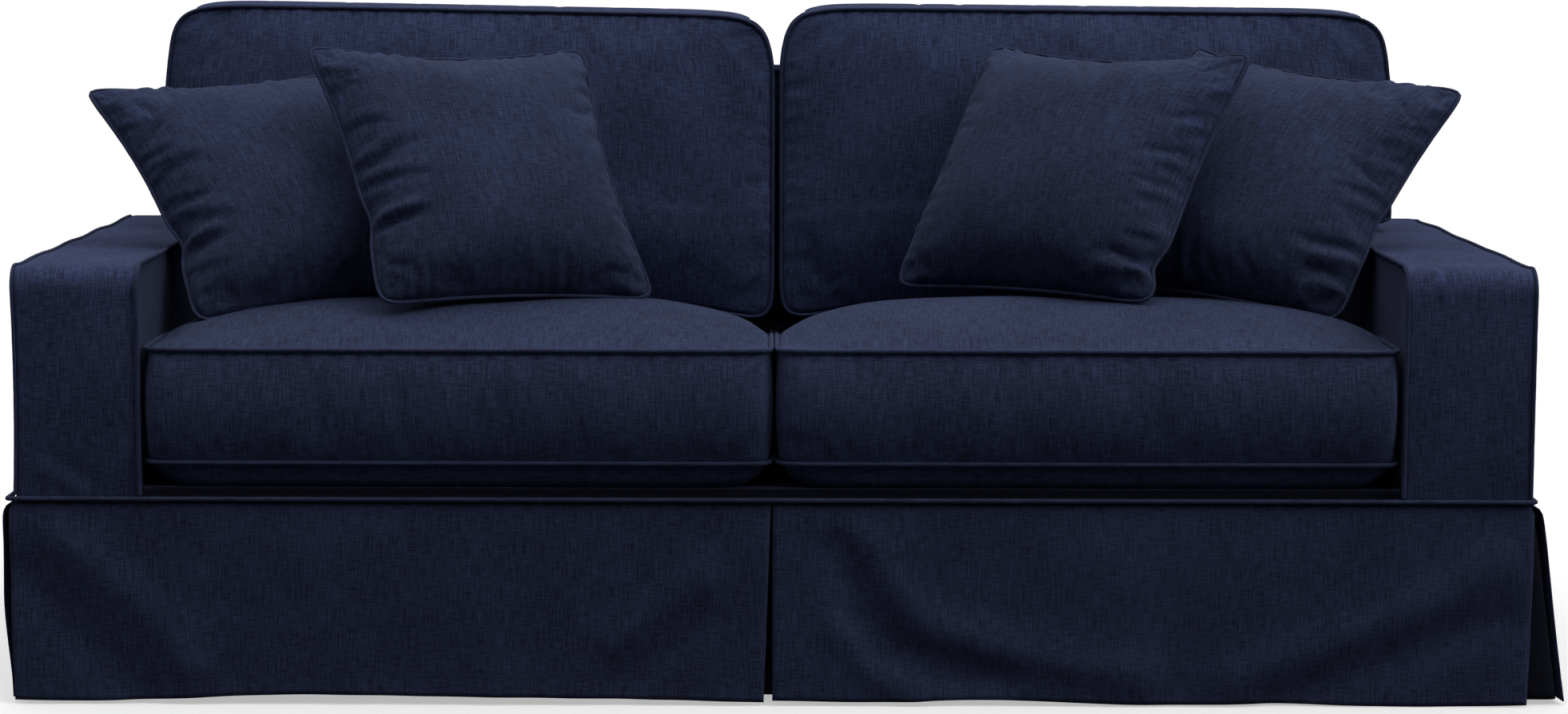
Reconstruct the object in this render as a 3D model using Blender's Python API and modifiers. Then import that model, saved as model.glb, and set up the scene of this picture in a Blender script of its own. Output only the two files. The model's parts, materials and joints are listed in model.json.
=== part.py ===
"""Slipcover set for a two-seat sofa: a fitted, hollow cover with a kick-pleated skirt,
two seat cushions, two back cushions and four loose pillows.

Sizes are in metres. x runs to the right as seen from the front, y runs from the front of the
arms towards the back, and z runs up. The sizes below count z from the floor; FRAME_ORIGIN then
shifts everything, so that the origin lies under the cover's top, where the sofa's back holds it.
"""

import math

import bmesh
import bpy
from mathutils import Matrix, Vector

COLLECTION = "sofa_slipcover"

ACROSS = Vector((1.0, 0.0, 0.0))
FORWARD = Vector((0.0, -1.0, 0.0))
UPWARD = Vector((0.0, 0.0, 1.0))

# The cloth and the piping cord
CLOTH = 0.002
SEAM_GAP = 0.0005
WELT_RADIUS = 0.0035
WELT_REACH = WELT_RADIUS + 0.0004
WELT_DIAGONAL = WELT_REACH / math.sqrt(2.0)
SHARPEST_MITRE = 0.35

# The fitted cover
OUTER_HALF = 1.065
INNER_HALF = 0.886
DEPTH = 0.920
ARM_TOP = 0.614
ARM_EDGE_RADIUS = 0.035
ARM_WELT_START = 0.009
DECK_TOP = 0.302
SKIRT_SEAM = 0.284
HEM = 0.004
BACK_HALF = 0.930
BACK_TOP = 0.860
BACK_FRONT = 0.778
BACK_CORNER_RADIUS = 0.045
BEND_STEPS = 4

# The skirt
SKIRT_WELT_RISE = 0.0035
PLEAT_HALF = 0.095
PLEAT_SETBACK = 0.0055
CORNER_LEG = 0.090
CORNER_RADIUS = 0.010
CORNER_STEPS = 3

# The seat cushions, between their two piped seams
SEAT_FRONT = 0.000
SEAT_REAR = 0.763
SEAT_SEAM_LOW = 0.341
SEAT_SEAM_HIGH = 0.496
SEAT_DIP = 0.044
SEAT_DIP_FROM = 0.150
SEAT_DIP_TO = 0.600
SEAT_CROWN = 0.058
SEAT_CREST = 0.400
SEAT_SAG = 0.052
SEAT_FLOOR = DECK_TOP + 0.0006
SEAT_BULGE = (0.0015, 0.009)
SEAT_ROUNDING = 36.0
SEAT_WELT_OUT = 0.85 * WELT_REACH
SEAT_WELT_UP = 0.53 * WELT_REACH

# The back cushions, between their two piped seams
BACK_SEAM_FRONT = 0.600
BACK_SEAM_REAR = 0.720
BACK_LEAN = 0.034
BACK_CUSHION_TOP = 0.965
BACK_CROWN_FRONT = 0.040
BACK_CROWN_REAR = 0.010
BACK_BULGE = (0.0015, 0.006)
BACK_ROUNDING = 13.0
BACK_CLEAR = 0.009
BACK_FOOT_Y = 0.580
EAR_LOW = 0.6210
EAR_HIGH = 0.6370
BACK_WELT_OUT = 0.80 * WELT_REACH
BACK_WELT_FORWARD = 0.60 * WELT_REACH

# The loose pillows
PILLOW_SIDE = 0.425
PILLOW_EDGE = 0.0030
PILLOW_FRONT = 0.078
PILLOW_REAR = 0.058
PILLOW_DRAW_IN = 0.050
PILLOW_WELT_OUT = WELT_REACH + 0.0003

FRAME_ORIGIN = Vector((0.0, (BACK_FRONT + DEPTH) / 2, BACK_TOP - CLOTH))

# Where the cushion meshes are cut, as shares of half their width, depth or height
SEAT_CUTS_X = (-0.97, -0.90, -0.72, -0.45, -0.15, 0.15, 0.45, 0.72, 0.90, 0.97)
SEAT_CUTS_Y = (-0.96, -0.86, -0.60, -0.20, 0.10, 0.40, 0.70, 0.94)
SEAT_CUTS_Z = (-0.4, 0.4)
BACK_CUTS_X = (-0.96, -0.89, -0.68, -0.30, 0.0, 0.30, 0.68, 0.89, 0.96)
BACK_CUTS_Z = (-0.92, -0.75, -0.50, -0.341, -0.279, 0.0, 0.35, 0.65, 0.80, 0.93)
BACK_CUTS_Y = (0.0,)
PILLOW_CUTS = (-0.93, -0.78, -0.52, -0.20, 0.20, 0.52, 0.78, 0.93)

# How full each crown is: the power and the steepness of its dome
SEAT_DOME_ACROSS = (4.0, 1.0)
SEAT_DOME_DEEP = (2.2, 0.9)
SEAT_DOME_UNDER = (8.0, 0.8)
BACK_DOME = (3.0, 0.9)
PILLOW_DOME = (2.4, 0.8)

# name, left seam, right seam
SEAT_CUSHIONS = (
    ("left", -0.8730, -0.0040),
    ("right", 0.0105, 0.8700),
)

# name, inner seam, outer seam above the arm, outer seam below the arm's top, drop of the
# upper edge at the inner end, drop at the outer end
BACK_CUSHIONS = (
    ("left", -0.004, -0.946, -0.866, 0.014, 0.000),
    ("right", 0.018, 0.964, 0.866, 0.002, 0.012),
)

# name, x, y, z of the middle, yaw, lean and roll in degrees, how far the top flops sideways
PILLOWS = (
    ("outer_left", -0.697, 0.352, 0.700, 20.0, 39.0, 5.0, -0.068),
    ("inner_left", -0.411, 0.292, 0.728, 26.0, 32.5, -1.5, -0.033),
    ("inner_right", 0.430, 0.372, 0.729, -32.0, 33.5, -0.5, 0.037),
    ("outer_right", 0.711, 0.405, 0.709, -23.0, 37.5, -7.0, 0.060),
)

# Soft diagonal folds of the two front skirt panels: x and z where a fold starts and ends,
# how far it stands out (or in, below zero) and its half width
FRONT_FOLDS = (
    (-1.03, 0.240, -0.79, 0.020, -0.009, 0.035),
    (-1.00, 0.170, -0.86, 0.010, 0.006, 0.040),
    (-0.13, 0.130, -0.20, 0.050, -0.006, 0.040),
    (-0.30, 0.200, -0.52, 0.010, 0.005, 0.060),
    (0.10, 0.280, 0.16, 0.190, -0.006, 0.030),
    (0.13, 0.110, 0.32, 0.050, -0.008, 0.035),
    (0.33, 0.190, 0.56, 0.040, 0.005, 0.060),
    (0.70, 0.030, 0.96, 0.130, -0.009, 0.040),
    (0.80, 0.200, 0.98, 0.230, 0.005, 0.040),
)
SIDE_FOLDS = (
    (0.22, 0.250, 0.30, 0.010, -0.006, 0.050),
    (0.62, 0.200, 0.52, 0.010, 0.007, 0.060),
)
BACK_FOLDS = (
    (-0.70, 0.240, -0.58, 0.010, -0.007, 0.060),
    (-0.10, 0.200, -0.18, 0.010, 0.006, 0.070),
    (0.52, 0.240, 0.62, 0.010, -0.007, 0.060),
)

# name, first end and last end (x, y, left to right as seen from outside), puff below the seam,
# flare at the hem of either end, how far the inner edge parts at the hem, folds, columns
SKIRT_PANELS = (
    ("skirt_front_left", (-OUTER_HALF, 0.0), (-0.0010, 0.0), 0.003, 0.011, 0.013, -0.0095, FRONT_FOLDS, 26),
    ("skirt_front_right", (0.0015, 0.0), (OUTER_HALF, 0.0), 0.003, 0.013, 0.008, 0.0, FRONT_FOLDS, 26),
    ("skirt_side_right", (OUTER_HALF, 0.006), (OUTER_HALF, 0.914), 0.015, 0.040, 0.004, 0.0, SIDE_FOLDS, 12),
    ("skirt_back", (OUTER_HALF, DEPTH), (-OUTER_HALF, DEPTH), 0.004, 0.012, 0.012, 0.0, BACK_FOLDS, 18),
    ("skirt_side_left", (-OUTER_HALF, 0.914), (-OUTER_HALF, 0.006), 0.015, 0.004, 0.000, 0.0, SIDE_FOLDS, 12),
)
PUFF_SHARE = 0.10
FOLDS_FULL_AT = 0.25
SKIRT_DEEPEST = 0.003
SKIRT_LEVELS = (0.0, 0.2, 0.4, 0.6, 0.8, 0.93, 1.0)

# name, the corner's x and y, the way out along x and y
PLEAT_CORNERS = (
    ("front_left", -OUTER_HALF, 0.0, -1, -1),
    ("front_right", OUTER_HALF, 0.0, 1, -1),
    ("back_right", OUTER_HALF, DEPTH, 1, 1),
    ("back_left", -OUTER_HALF, DEPTH, -1, 1),
)

# name, base colour, roughness
FINISHES = (
    ("navy_cloth", (0.0140, 0.0185, 0.0480, 1.0), 0.92),
    ("navy_cushion_cloth", (0.0180, 0.0235, 0.0560, 1.0), 0.92),
    ("navy_pillow_cloth", (0.0210, 0.0270, 0.0620, 1.0), 0.92),
    ("navy_piping", (0.0095, 0.0125, 0.0340, 1.0), 0.90),
)


def clear_scene():
    """Removes every object, so that the file holds the cover alone."""
    for item in list(bpy.data.objects):
        bpy.data.objects.remove(item, do_unlink=True)


def make_finish(name, colour, roughness):
    """Makes one cloth material."""
    finish = bpy.data.materials.new(name)
    finish.use_nodes = True
    shader = finish.node_tree.nodes["Principled BSDF"]
    shader.inputs["Base Color"].default_value = colour
    shader.inputs["Roughness"].default_value = roughness
    shader.inputs["Metallic"].default_value = 0.0
    return finish


class Workroom:
    """The collection, the parent empty and the finishes that every piece shares."""

    def __init__(self):
        self.collection = bpy.data.collections.new(COLLECTION)
        bpy.context.scene.collection.children.link(self.collection)
        self.parent = bpy.data.objects.new("cover_frame", None)
        self.parent.location = -FRAME_ORIGIN
        self.collection.objects.link(self.parent)
        self.finishes = {row[0]: make_finish(*row) for row in FINISHES}

    def add(self, name, data, finish):
        """Links a mesh or curve as a named piece."""
        piece = bpy.data.objects.new(name, data)
        data.materials.append(self.finishes[finish])
        self.collection.objects.link(piece)
        piece.parent = self.parent
        return piece

    def add_bmesh(self, name, shape, finish, smooth=True):
        """Turns a bmesh into a named piece and frees it."""
        mesh = bpy.data.meshes.new(name)
        shape.to_mesh(mesh)
        shape.free()
        if smooth:
            mesh.shade_smooth()
        return self.add(name, mesh, finish)


# Shapes


def share(low, high, part):
    """The value that lies a part of the way from low to high."""
    return low + (high - low) * part


def smooth_step(low, high, value):
    """Eases from 0 at low to 1 at high."""
    part = min(1.0, max(0.0, (value - low) / (high - low)))
    return part * part * (3.0 - 2.0 * part)


def sheet(room, name, columns, rows, place, finish="navy_cloth"):
    """A sheet of cloth. place(s, t) gives the outer surface, s to the right and t upwards."""
    shape = bmesh.new()
    bmesh.ops.create_grid(shape, x_segments=columns, y_segments=rows, size=0.5)
    for vertex in shape.verts:
        vertex.co = place(vertex.co.x + 0.5, vertex.co.y + 0.5)
    piece = room.add_bmesh(name, shape, finish)
    wall = piece.modifiers.new("cloth", "SOLIDIFY")
    wall.thickness = CLOTH
    wall.offset = -1.0
    wall.use_even_offset = True
    return piece


def bend(first, last, centre, steps):
    """Points on the round corner that turns from first to last about centre, ends included."""
    start = first - centre
    angle = start.angle(last - centre)
    axis = start.cross(last - centre).normalized()
    return [centre + Matrix.Rotation(angle * step / steps, 3, axis) @ start for step in range(steps + 1)]


def flat_panel(room, name, corners, turn):
    """A flat panel cut to an outline of 2D corners, stood up by the matrix turn."""
    curve = bpy.data.curves.new(name, "CURVE")
    curve.dimensions = "2D"
    curve.fill_mode = "BOTH"
    curve.extrude = CLOTH / 2
    spline = curve.splines.new("POLY")
    spline.points.add(len(corners) - 1)
    for point, corner in zip(spline.points, corners):
        point.co = (corner[0], corner[1], 0.0, 1.0)
    spline.use_cyclic_u = True
    piece = room.add(name, curve, "navy_cloth")
    piece.matrix_local = turn
    return piece


def welt(room, name, route, closed):
    """Piping: a cord of the cover's cloth along a route."""
    curve = bpy.data.curves.new(name, "CURVE")
    curve.dimensions = "3D"
    curve.bevel_depth = WELT_RADIUS
    curve.bevel_resolution = 1
    curve.use_fill_caps = True
    spline = curve.splines.new("POLY")
    spline.points.add(len(route) - 1)
    for point, place in zip(spline.points, route):
        point.co = (*place, 1.0)
    spline.use_cyclic_u = closed
    return room.add(name, curve, "navy_piping")


def beside(route, plane_normal, outward, along_normal, closed):
    """Moves a route sideways: outward in the plane of plane_normal, and along that normal.

    The outward step is mitred at each bend, so each run stays parallel to the seam it follows.
    """
    moved = []
    count = len(route)
    for index, point in enumerate(route):
        before = route[index - 1] if closed or index > 0 else None
        after = route[(index + 1) % count] if closed or index < count - 1 else None
        runs = [(point - before) if before is not None else (after - point),
                (after - point) if after is not None else (point - before)]
        sides = [run.cross(plane_normal).normalized() for run in runs]
        middle = (sides[0] + sides[1]).normalized()
        reach = outward / max(SHARPEST_MITRE, middle.dot(sides[0]))
        moved.append(point + middle * reach + plane_normal * along_normal)
    return moved


def sliced_block(cuts_x, cuts_y, cuts_z):
    """A cube from -1 to 1, cut into a grid across each axis."""
    shape = bmesh.new()
    bmesh.ops.create_cube(shape, size=2.0)
    for axis, cuts in enumerate((cuts_x, cuts_y, cuts_z)):
        normal = Vector([1.0 if axis == other else 0.0 for other in range(3)])
        for cut in cuts:
            everything = shape.verts[:] + shape.edges[:] + shape.faces[:]
            bmesh.ops.bisect_plane(shape, geom=everything, plane_co=normal * cut, plane_no=normal)
    return shape


def rim(cuts_x, cuts_y):
    """The places round the edge of a sliced block's top, anticlockwise."""
    xs = [-1.0, *cuts_x, 1.0]
    ys = [-1.0, *cuts_y, 1.0]
    places = [(x, -1.0) for x in xs[:-1]]
    places += [(1.0, y) for y in ys[:-1]]
    places += [(x, 1.0) for x in reversed(xs[1:])]
    places += [(-1.0, y) for y in reversed(ys[1:])]
    return places


def cushion(room, name, cuts, place, finish):
    """A filled cushion. place(u, v, w) bends a block into its form; each runs from -1 to 1."""
    shape = sliced_block(*cuts)
    for vertex in shape.verts:
        vertex.co = place(*vertex.co)
    return room.add_bmesh(name, shape, finish)


def rounded(u, v, power):
    """Rounds the corners of the square from -1 to 1, most at its rim."""
    rim_share = max(abs(u), abs(v))
    if rim_share == 0.0:
        return 0.0, 0.0
    pull = ((abs(u) / rim_share) ** power + (abs(v) / rim_share) ** power) ** (-1.0 / power)
    pull = share(1.0, pull, rim_share ** 3)
    return u * pull, v * pull


def dome(value, power, steepness):
    """1 in the middle, 0 at either end of -1 to 1."""
    return max(0.0, 1.0 - abs(value) ** power) ** steepness


# The fitted cover


def arm_route():
    """The arm's side profile at x = 0, from the skirt seam up the front and along the top."""
    radius = ARM_EDGE_RADIUS
    centre = Vector((0.0, radius, ARM_TOP - radius))
    low = Vector((0.0, 0.0, SKIRT_SEAM + SEAM_GAP))
    rear = Vector((0.0, DEPTH - CLOTH - SEAM_GAP, ARM_TOP))
    front = Vector((0.0, 0.0, ARM_TOP - radius))
    upper = Vector((0.0, radius, ARM_TOP))
    return [low, *bend(front, upper, centre, BEND_STEPS), rear]


def add_arm(room, side, label):
    """One arm: the strip over its front and top, its two side panels and their piping."""
    route = arm_route()
    low_x, high_x = sorted((side * INNER_HALF, side * OUTER_HALF))

    def strip(s, t):
        point = route[round(t * (len(route) - 1))]
        return Vector((share(low_x, high_x, s), point.y, point.z))

    sheet(room, f"arm_strip_{label}", 1, len(route) - 1, strip)

    inset = CLOTH + SEAM_GAP
    upright = Matrix.Rotation(math.pi / 2, 4, "Z") @ Matrix.Rotation(math.pi / 2, 4, "X")
    outer_rear = DEPTH - CLOTH - SEAM_GAP
    outer = [(point.y, point.z) for point in beside(route, ACROSS, inset, 0.0, False)]
    outer.append((outer_rear, SKIRT_SEAM + SEAM_GAP))
    outer_x = side * (OUTER_HALF - CLOTH / 2)
    flat_panel(room, f"outside_arm_{label}", outer, Matrix.Translation((outer_x, 0, 0)) @ upright)

    inner_rear = BACK_FRONT - CLOTH - SEAM_GAP
    inner = [(y, max(z, DECK_TOP + SEAM_GAP)) for y, z in outer[:-2]]
    inner += [(inner_rear, ARM_TOP - inset), (inner_rear, DECK_TOP + SEAM_GAP)]
    inner_x = side * (INNER_HALF + CLOTH / 2)
    flat_panel(room, f"inside_arm_{label}", inner, Matrix.Translation((inner_x, 0, 0)) @ upright)

    edges = (("inner", INNER_HALF, WELT_REACH, 0.0), ("outer", OUTER_HALF, WELT_DIAGONAL, side * WELT_DIAGONAL))
    for edge, edge_x, outward, sideways in edges:
        corner = [Vector((side * edge_x, point.y, point.z)) for point in route]
        corner[0].z += ARM_WELT_START
        if edge == "inner":
            corner[-1].y = BACK_FRONT - ARM_WELT_START
        welt(room, f"arm_welt_{edge}_{label}", beside(corner, ACROSS, -outward, sideways, False), False)


def back_outline(half, radius):
    """The cover's back above the arms, from its left foot over the top to its right foot."""
    foot = ARM_TOP + SEAM_GAP
    outline = []
    for side in (-1, 1):
        centre = Vector((side * (half - radius), 0.0, BACK_TOP - radius))
        outer = Vector((side * half, 0.0, BACK_TOP - radius))
        upper = Vector((side * (half - radius), 0.0, BACK_TOP))
        corner = bend(outer, upper, centre, BEND_STEPS)
        outline += [Vector((side * half, 0.0, foot)), *corner] if side < 0 else [*reversed(corner)]
    outline.append(Vector((half, 0.0, foot)))
    return outline


def add_back(room):
    """The back: the strip over its top and sides, its two faces and their piping."""
    route = back_outline(BACK_HALF, BACK_CORNER_RADIUS)

    def strip(s, t):
        point = route[round(s * (len(route) - 1))]
        return Vector((point.x, share(BACK_FRONT, DEPTH, t), point.z))

    sheet(room, "back_strip", len(route) - 1, 1, strip)

    inset = CLOTH + SEAM_GAP
    inner_route = back_outline(BACK_HALF - inset, BACK_CORNER_RADIUS - inset)
    crown = [(point.x, point.z - inset) for point in inner_route[1:-1]]
    shoulder = ARM_TOP + inset
    upright = Matrix.Rotation(math.pi / 2, 4, "X")

    inside_half = INNER_HALF - SEAM_GAP
    lap = BACK_HALF - inset
    inside = [(-inside_half, DECK_TOP + SEAM_GAP), (-inside_half, shoulder), (-lap, shoulder), *crown,
              (lap, shoulder), (inside_half, shoulder), (inside_half, DECK_TOP + SEAM_GAP)]
    flat_panel(room, "inside_back", inside, Matrix.Translation((0, BACK_FRONT + CLOTH / 2, 0)) @ upright)

    outside = [(-OUTER_HALF, SKIRT_SEAM + SEAM_GAP), (-OUTER_HALF, ARM_TOP), (-lap, ARM_TOP), *crown,
               (lap, ARM_TOP), (OUTER_HALF, ARM_TOP), (OUTER_HALF, SKIRT_SEAM + SEAM_GAP)]
    flat_panel(room, "outside_back", outside, Matrix.Translation((0, DEPTH - CLOTH / 2, 0)) @ upright)

    for label, edge_y, out in (("front", BACK_FRONT, -1), ("rear", DEPTH, 1)):
        corner = [Vector((point.x, edge_y, point.z)) for point in route]
        corner[0].z = ARM_TOP + WELT_RADIUS * 2
        corner[-1].z = corner[0].z
        moved = beside(corner, -FORWARD, WELT_DIAGONAL, out * WELT_DIAGONAL, False)
        welt(room, f"back_welt_{label}", moved, False)


def add_seat_cloth(room):
    """The deck under the seat cushions and the narrow band at its front."""
    half = INNER_HALF - SEAM_GAP
    front = CLOTH + SEAM_GAP
    rear = BACK_FRONT - SEAM_GAP

    def deck(s, t):
        return Vector((share(-half, half, s), share(front, rear, t), DECK_TOP))

    def band(s, t):
        return Vector((share(-half, half, s), 0.0, share(SKIRT_SEAM + SEAM_GAP, DECK_TOP, t)))

    sheet(room, "deck", 1, 1, deck)
    sheet(room, "front_band", 1, 1, band)


# The skirt


def fold_depth(along, height, folds):
    """How far the folds push the skirt out at a place, along its panel and above the floor."""
    depth = 0.0
    for start, high, end, low, push, width in folds:
        fold = Vector((end - start, low - high))
        place = Vector((along - start, height - high))
        part = min(1.0, max(0.0, place.dot(fold) / fold.length_squared))
        miss = (place - fold * part).length
        depth += push * math.exp(-((miss / width) ** 2))
    return depth


def add_skirt(room):
    """Five hanging panels, the cloth behind their open pleats and the piping of their seam."""
    top = SKIRT_SEAM - SEAM_GAP
    for name, first, last, puff, flare_first, flare_last, parting, folds, columns in SKIRT_PANELS:
        start = Vector((*first, 0.0))
        run = Vector((*last, 0.0)) - start
        outward = run.cross(UPWARD).normalized()

        def place(s, t):
            level = SKIRT_LEVELS[round(t * (len(SKIRT_LEVELS) - 1))]
            fall = 1.0 - level
            point = start + run * s
            along = point.x if abs(run.x) > abs(run.y) else point.y
            height = share(HEM, top, level)
            push = puff * (1.0 - math.exp(-fall / PUFF_SHARE)) + share(flare_first, flare_last, s) * fall
            push += fold_depth(along, height, folds) * smooth_step(0.0, FOLDS_FULL_AT, fall)
            point = point + outward * max(push, -SKIRT_DEEPEST * fall)
            point.x += parting * fall * s
            point.z = height
            return point

        sheet(room, name, columns, len(SKIRT_LEVELS) - 1, place)

    def centre(s, t):
        return Vector((share(-PLEAT_HALF, PLEAT_HALF, s), PLEAT_SETBACK, share(HEM, top, t)))

    sheet(room, "pleat_centre", 2, 2, centre)

    for label, corner_x, corner_y, out_x, out_y in PLEAT_CORNERS:
        corner = Vector((corner_x - out_x * PLEAT_SETBACK, corner_y - out_y * PLEAT_SETBACK, 0.0))
        turn = Vector((-out_x * CORNER_RADIUS, -out_y * CORNER_RADIUS, 0.0)) + corner
        along_x = Vector((corner.x - out_x * CORNER_LEG, corner.y, 0.0))
        along_y = Vector((corner.x, corner.y - out_y * CORNER_LEG, 0.0))
        bend_x = Vector((turn.x, corner.y, 0.0))
        bend_y = Vector((corner.x, turn.y, 0.0))
        route = [along_x, *bend(bend_x, bend_y, turn, CORNER_STEPS), along_y]
        if out_x * out_y > 0:
            route.reverse()

        def underlay(s, t):
            point = route[round(s * (len(route) - 1))].copy()
            point.z = share(HEM, top, t)
            return point

        sheet(room, f"pleat_corner_{label}", len(route) - 1, 2, underlay)

    ring = []
    for quarter, (_, corner_x, corner_y, _, _) in enumerate(PLEAT_CORNERS):
        corner = Vector((corner_x, corner_y, SKIRT_SEAM + SKIRT_WELT_RISE))
        for step in range(BEND_STEPS + 1):
            angle = math.pi + math.pi / 2 * (quarter + step / BEND_STEPS)
            ring.append(corner + Vector((math.cos(angle), math.sin(angle), 0.0)) * WELT_REACH)
    welt(room, "skirt_welt", ring, True)


# The cushions


def seat_seam(y):
    """Height of a seat cushion's upper seam, which dips under the back cushion's weight."""
    return SEAT_SEAM_HIGH - SEAT_DIP * smooth_step(SEAT_DIP_FROM, SEAT_DIP_TO, y)


def seat_top(x_share, y):
    """Height of a seat cushion's crown, at a share of its half width and a depth."""
    reach = (SEAT_CREST - SEAT_FRONT) if y < SEAT_CREST else (SEAT_REAR - SEAT_CREST)
    y_share = min(1.0, abs(y - SEAT_CREST) / reach)
    return seat_seam(y) + SEAT_CROWN * dome(x_share, *SEAT_DOME_ACROSS) * dome(y_share, *SEAT_DOME_DEEP)


def add_seat_cushion(room, label, left, right):
    """One seat cushion: crowned above, flat where it lies on the deck, piped at both seams."""
    middle = Vector(((left + right) / 2, (SEAT_FRONT + SEAT_REAR) / 2, 0.0))
    half = Vector(((right - left) / 2, (SEAT_REAR - SEAT_FRONT) / 2, 0.0))

    def place(u, v, w):
        x_share, y_share = rounded(u, v, SEAT_ROUNDING)
        point = Vector((middle.x + half.x * x_share, middle.y + half.y * y_share, 0.0))
        if w >= 1.0:
            point.z = seat_top(u, point.y)
        elif w <= -1.0:
            sag = SEAT_SAG * dome(u, *SEAT_DOME_UNDER) * dome(v, *SEAT_DOME_UNDER)
            point.z = max(SEAT_FLOOR, SEAT_SEAM_LOW - sag)
        else:
            point.z = share(SEAT_SEAM_LOW, seat_seam(point.y), (w + 1.0) / 2)
            point.x += SEAT_BULGE[0] * x_share * (1.0 - w * w) if abs(u) == 1.0 else 0.0
            point.y += SEAT_BULGE[1] * y_share * (1.0 - w * w) if abs(v) == 1.0 else 0.0
        return point

    cuts = (SEAT_CUTS_X, SEAT_CUTS_Y, SEAT_CUTS_Z)
    cushion(room, f"seat_cushion_{label}", cuts, place, "navy_cushion_cloth")
    for level, w in (("bottom", -1.0), ("top", 1.0)):
        seam = [place(u, v, w) for u, v in rim(SEAT_CUTS_X, SEAT_CUTS_Y)]
        route = beside(seam, UPWARD, SEAT_WELT_OUT, w * SEAT_WELT_UP, True)
        welt(room, f"seat_welt_{level}_{label}", route, True)


def add_back_cushion(room, label, inner, outer_high, outer_low, drop_inner, drop_outer):
    """One back cushion: stands on the seat cushion, leans back and reaches over the arm."""
    side = -1.0 if outer_high < inner else 1.0
    seat_left, seat_right = next((row[1], row[2]) for row in SEAT_CUSHIONS if row[0] == label)
    seat_middle = (seat_left + seat_right) / 2
    seat_half = (seat_right - seat_left) / 2

    def place(u, v, w):
        x_share, z_share = rounded(u, v, BACK_ROUNDING)
        high = (z_share + 1.0) / 2
        outward = (x_share * side + 1.0) / 2
        guess = share(SEAT_SEAM_HIGH - SEAT_DIP, BACK_CUSHION_TOP, high)
        outer = share(outer_low, outer_high, smooth_step(EAR_LOW, EAR_HIGH, guess))
        x = share(inner, outer, outward)
        foot_share = min(1.0, abs((x - seat_middle) / seat_half))
        foot = seat_top(foot_share, BACK_FOOT_Y) + BACK_CLEAR
        crest = BACK_CUSHION_TOP - share(drop_inner, drop_outer, outward)
        z = share(foot, crest, high)
        lean = BACK_LEAN * (z - SEAT_SEAM_HIGH) / (BACK_CUSHION_TOP - SEAT_SEAM_HIGH)
        y = share(BACK_SEAM_REAR, BACK_SEAM_FRONT, (w + 1.0) / 2) + lean
        crown = dome(u, *BACK_DOME) * dome(v, *BACK_DOME)
        if w >= 1.0:
            y -= BACK_CROWN_FRONT * crown
        elif w <= -1.0:
            y += BACK_CROWN_REAR * crown
        else:
            x += BACK_BULGE[0] * x_share if abs(u) == 1.0 else 0.0
            z += BACK_BULGE[1] if v == 1.0 and abs(u) < 1.0 else 0.0
        return Vector((x, y, z))

    cuts = (BACK_CUTS_X, BACK_CUTS_Z, BACK_CUTS_Y)
    cushion(room, f"back_cushion_{label}", cuts, place, "navy_cushion_cloth")
    for face, w in (("rear", -1.0), ("front", 1.0)):
        seam = [place(u, v, w) for u, v in rim(BACK_CUTS_X, BACK_CUTS_Z)]
        route = beside(seam, FORWARD, BACK_WELT_OUT, w * BACK_WELT_FORWARD, True)
        welt(room, f"back_cushion_welt_{face}_{label}", route, True)


def add_pillow(room, label, x, y, z, yaw, lean, roll, flop):
    """One knife-edge pillow with drawn-in sides and pointed corners, piped round its edge."""
    turn = Matrix.Rotation(math.radians(yaw), 3, "Z")
    turn = turn @ Matrix.Rotation(math.radians(90.0 - lean), 3, "X")
    turn = turn @ Matrix.Rotation(math.radians(roll), 3, "Z")
    middle = Vector((x, y, z))
    half = PILLOW_SIDE / 2

    def place(u, v, w):
        across = half * u * (1.0 - PILLOW_DRAW_IN * (1.0 - v * v) * u * u)
        across += flop * ((v + 1.0) / 2) ** 2
        up = half * v * (1.0 - PILLOW_DRAW_IN * (1.0 - u * u) * v * v)
        fill = dome(u, *PILLOW_DOME) * dome(v, *PILLOW_DOME)
        depth = PILLOW_FRONT if w > 0 else PILLOW_REAR
        out = w * (PILLOW_EDGE / 2 + depth * fill)
        return middle + turn @ Vector((across, up, out))

    cuts = (PILLOW_CUTS, PILLOW_CUTS, ())
    cushion(room, f"pillow_{label}", cuts, place, "navy_pillow_cloth")
    edge = [(place(u, v, 1.0) + place(u, v, -1.0)) / 2 for u, v in rim(PILLOW_CUTS, PILLOW_CUTS)]
    route = beside(edge, turn @ UPWARD, PILLOW_WELT_OUT, 0.0, True)
    welt(room, f"pillow_welt_{label}", route, True)


def main():
    clear_scene()
    room = Workroom()
    add_arm(room, -1, "left")
    add_arm(room, 1, "right")
    add_back(room)
    add_seat_cloth(room)
    add_skirt(room)
    for row in SEAT_CUSHIONS:
        add_seat_cushion(room, *row)
    for row in BACK_CUSHIONS:
        add_back_cushion(room, *row)
    for row in PILLOWS:
        add_pillow(room, *row)


main()
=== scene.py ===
"""Looks of a sofa's slipcover set: its cloth, piping, cushions and loose pillows.

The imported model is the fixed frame, and each of its pieces is made again here at full detail, in
its own place. Sizes are in metres. x runs to the right as seen from the front, y runs from the
front of the arms towards the back, and z runs up. Places are counted from the floor under the
middle of the arms' fronts; Workroom shifts every finished mesh by FRAME_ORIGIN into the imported
model's frame.
"""

import json
import logging
import math
from dataclasses import dataclass
from enum import Enum
from typing import Callable, Sequence

import bpy
import numpy as np
from mathutils import Matrix, Vector

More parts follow.
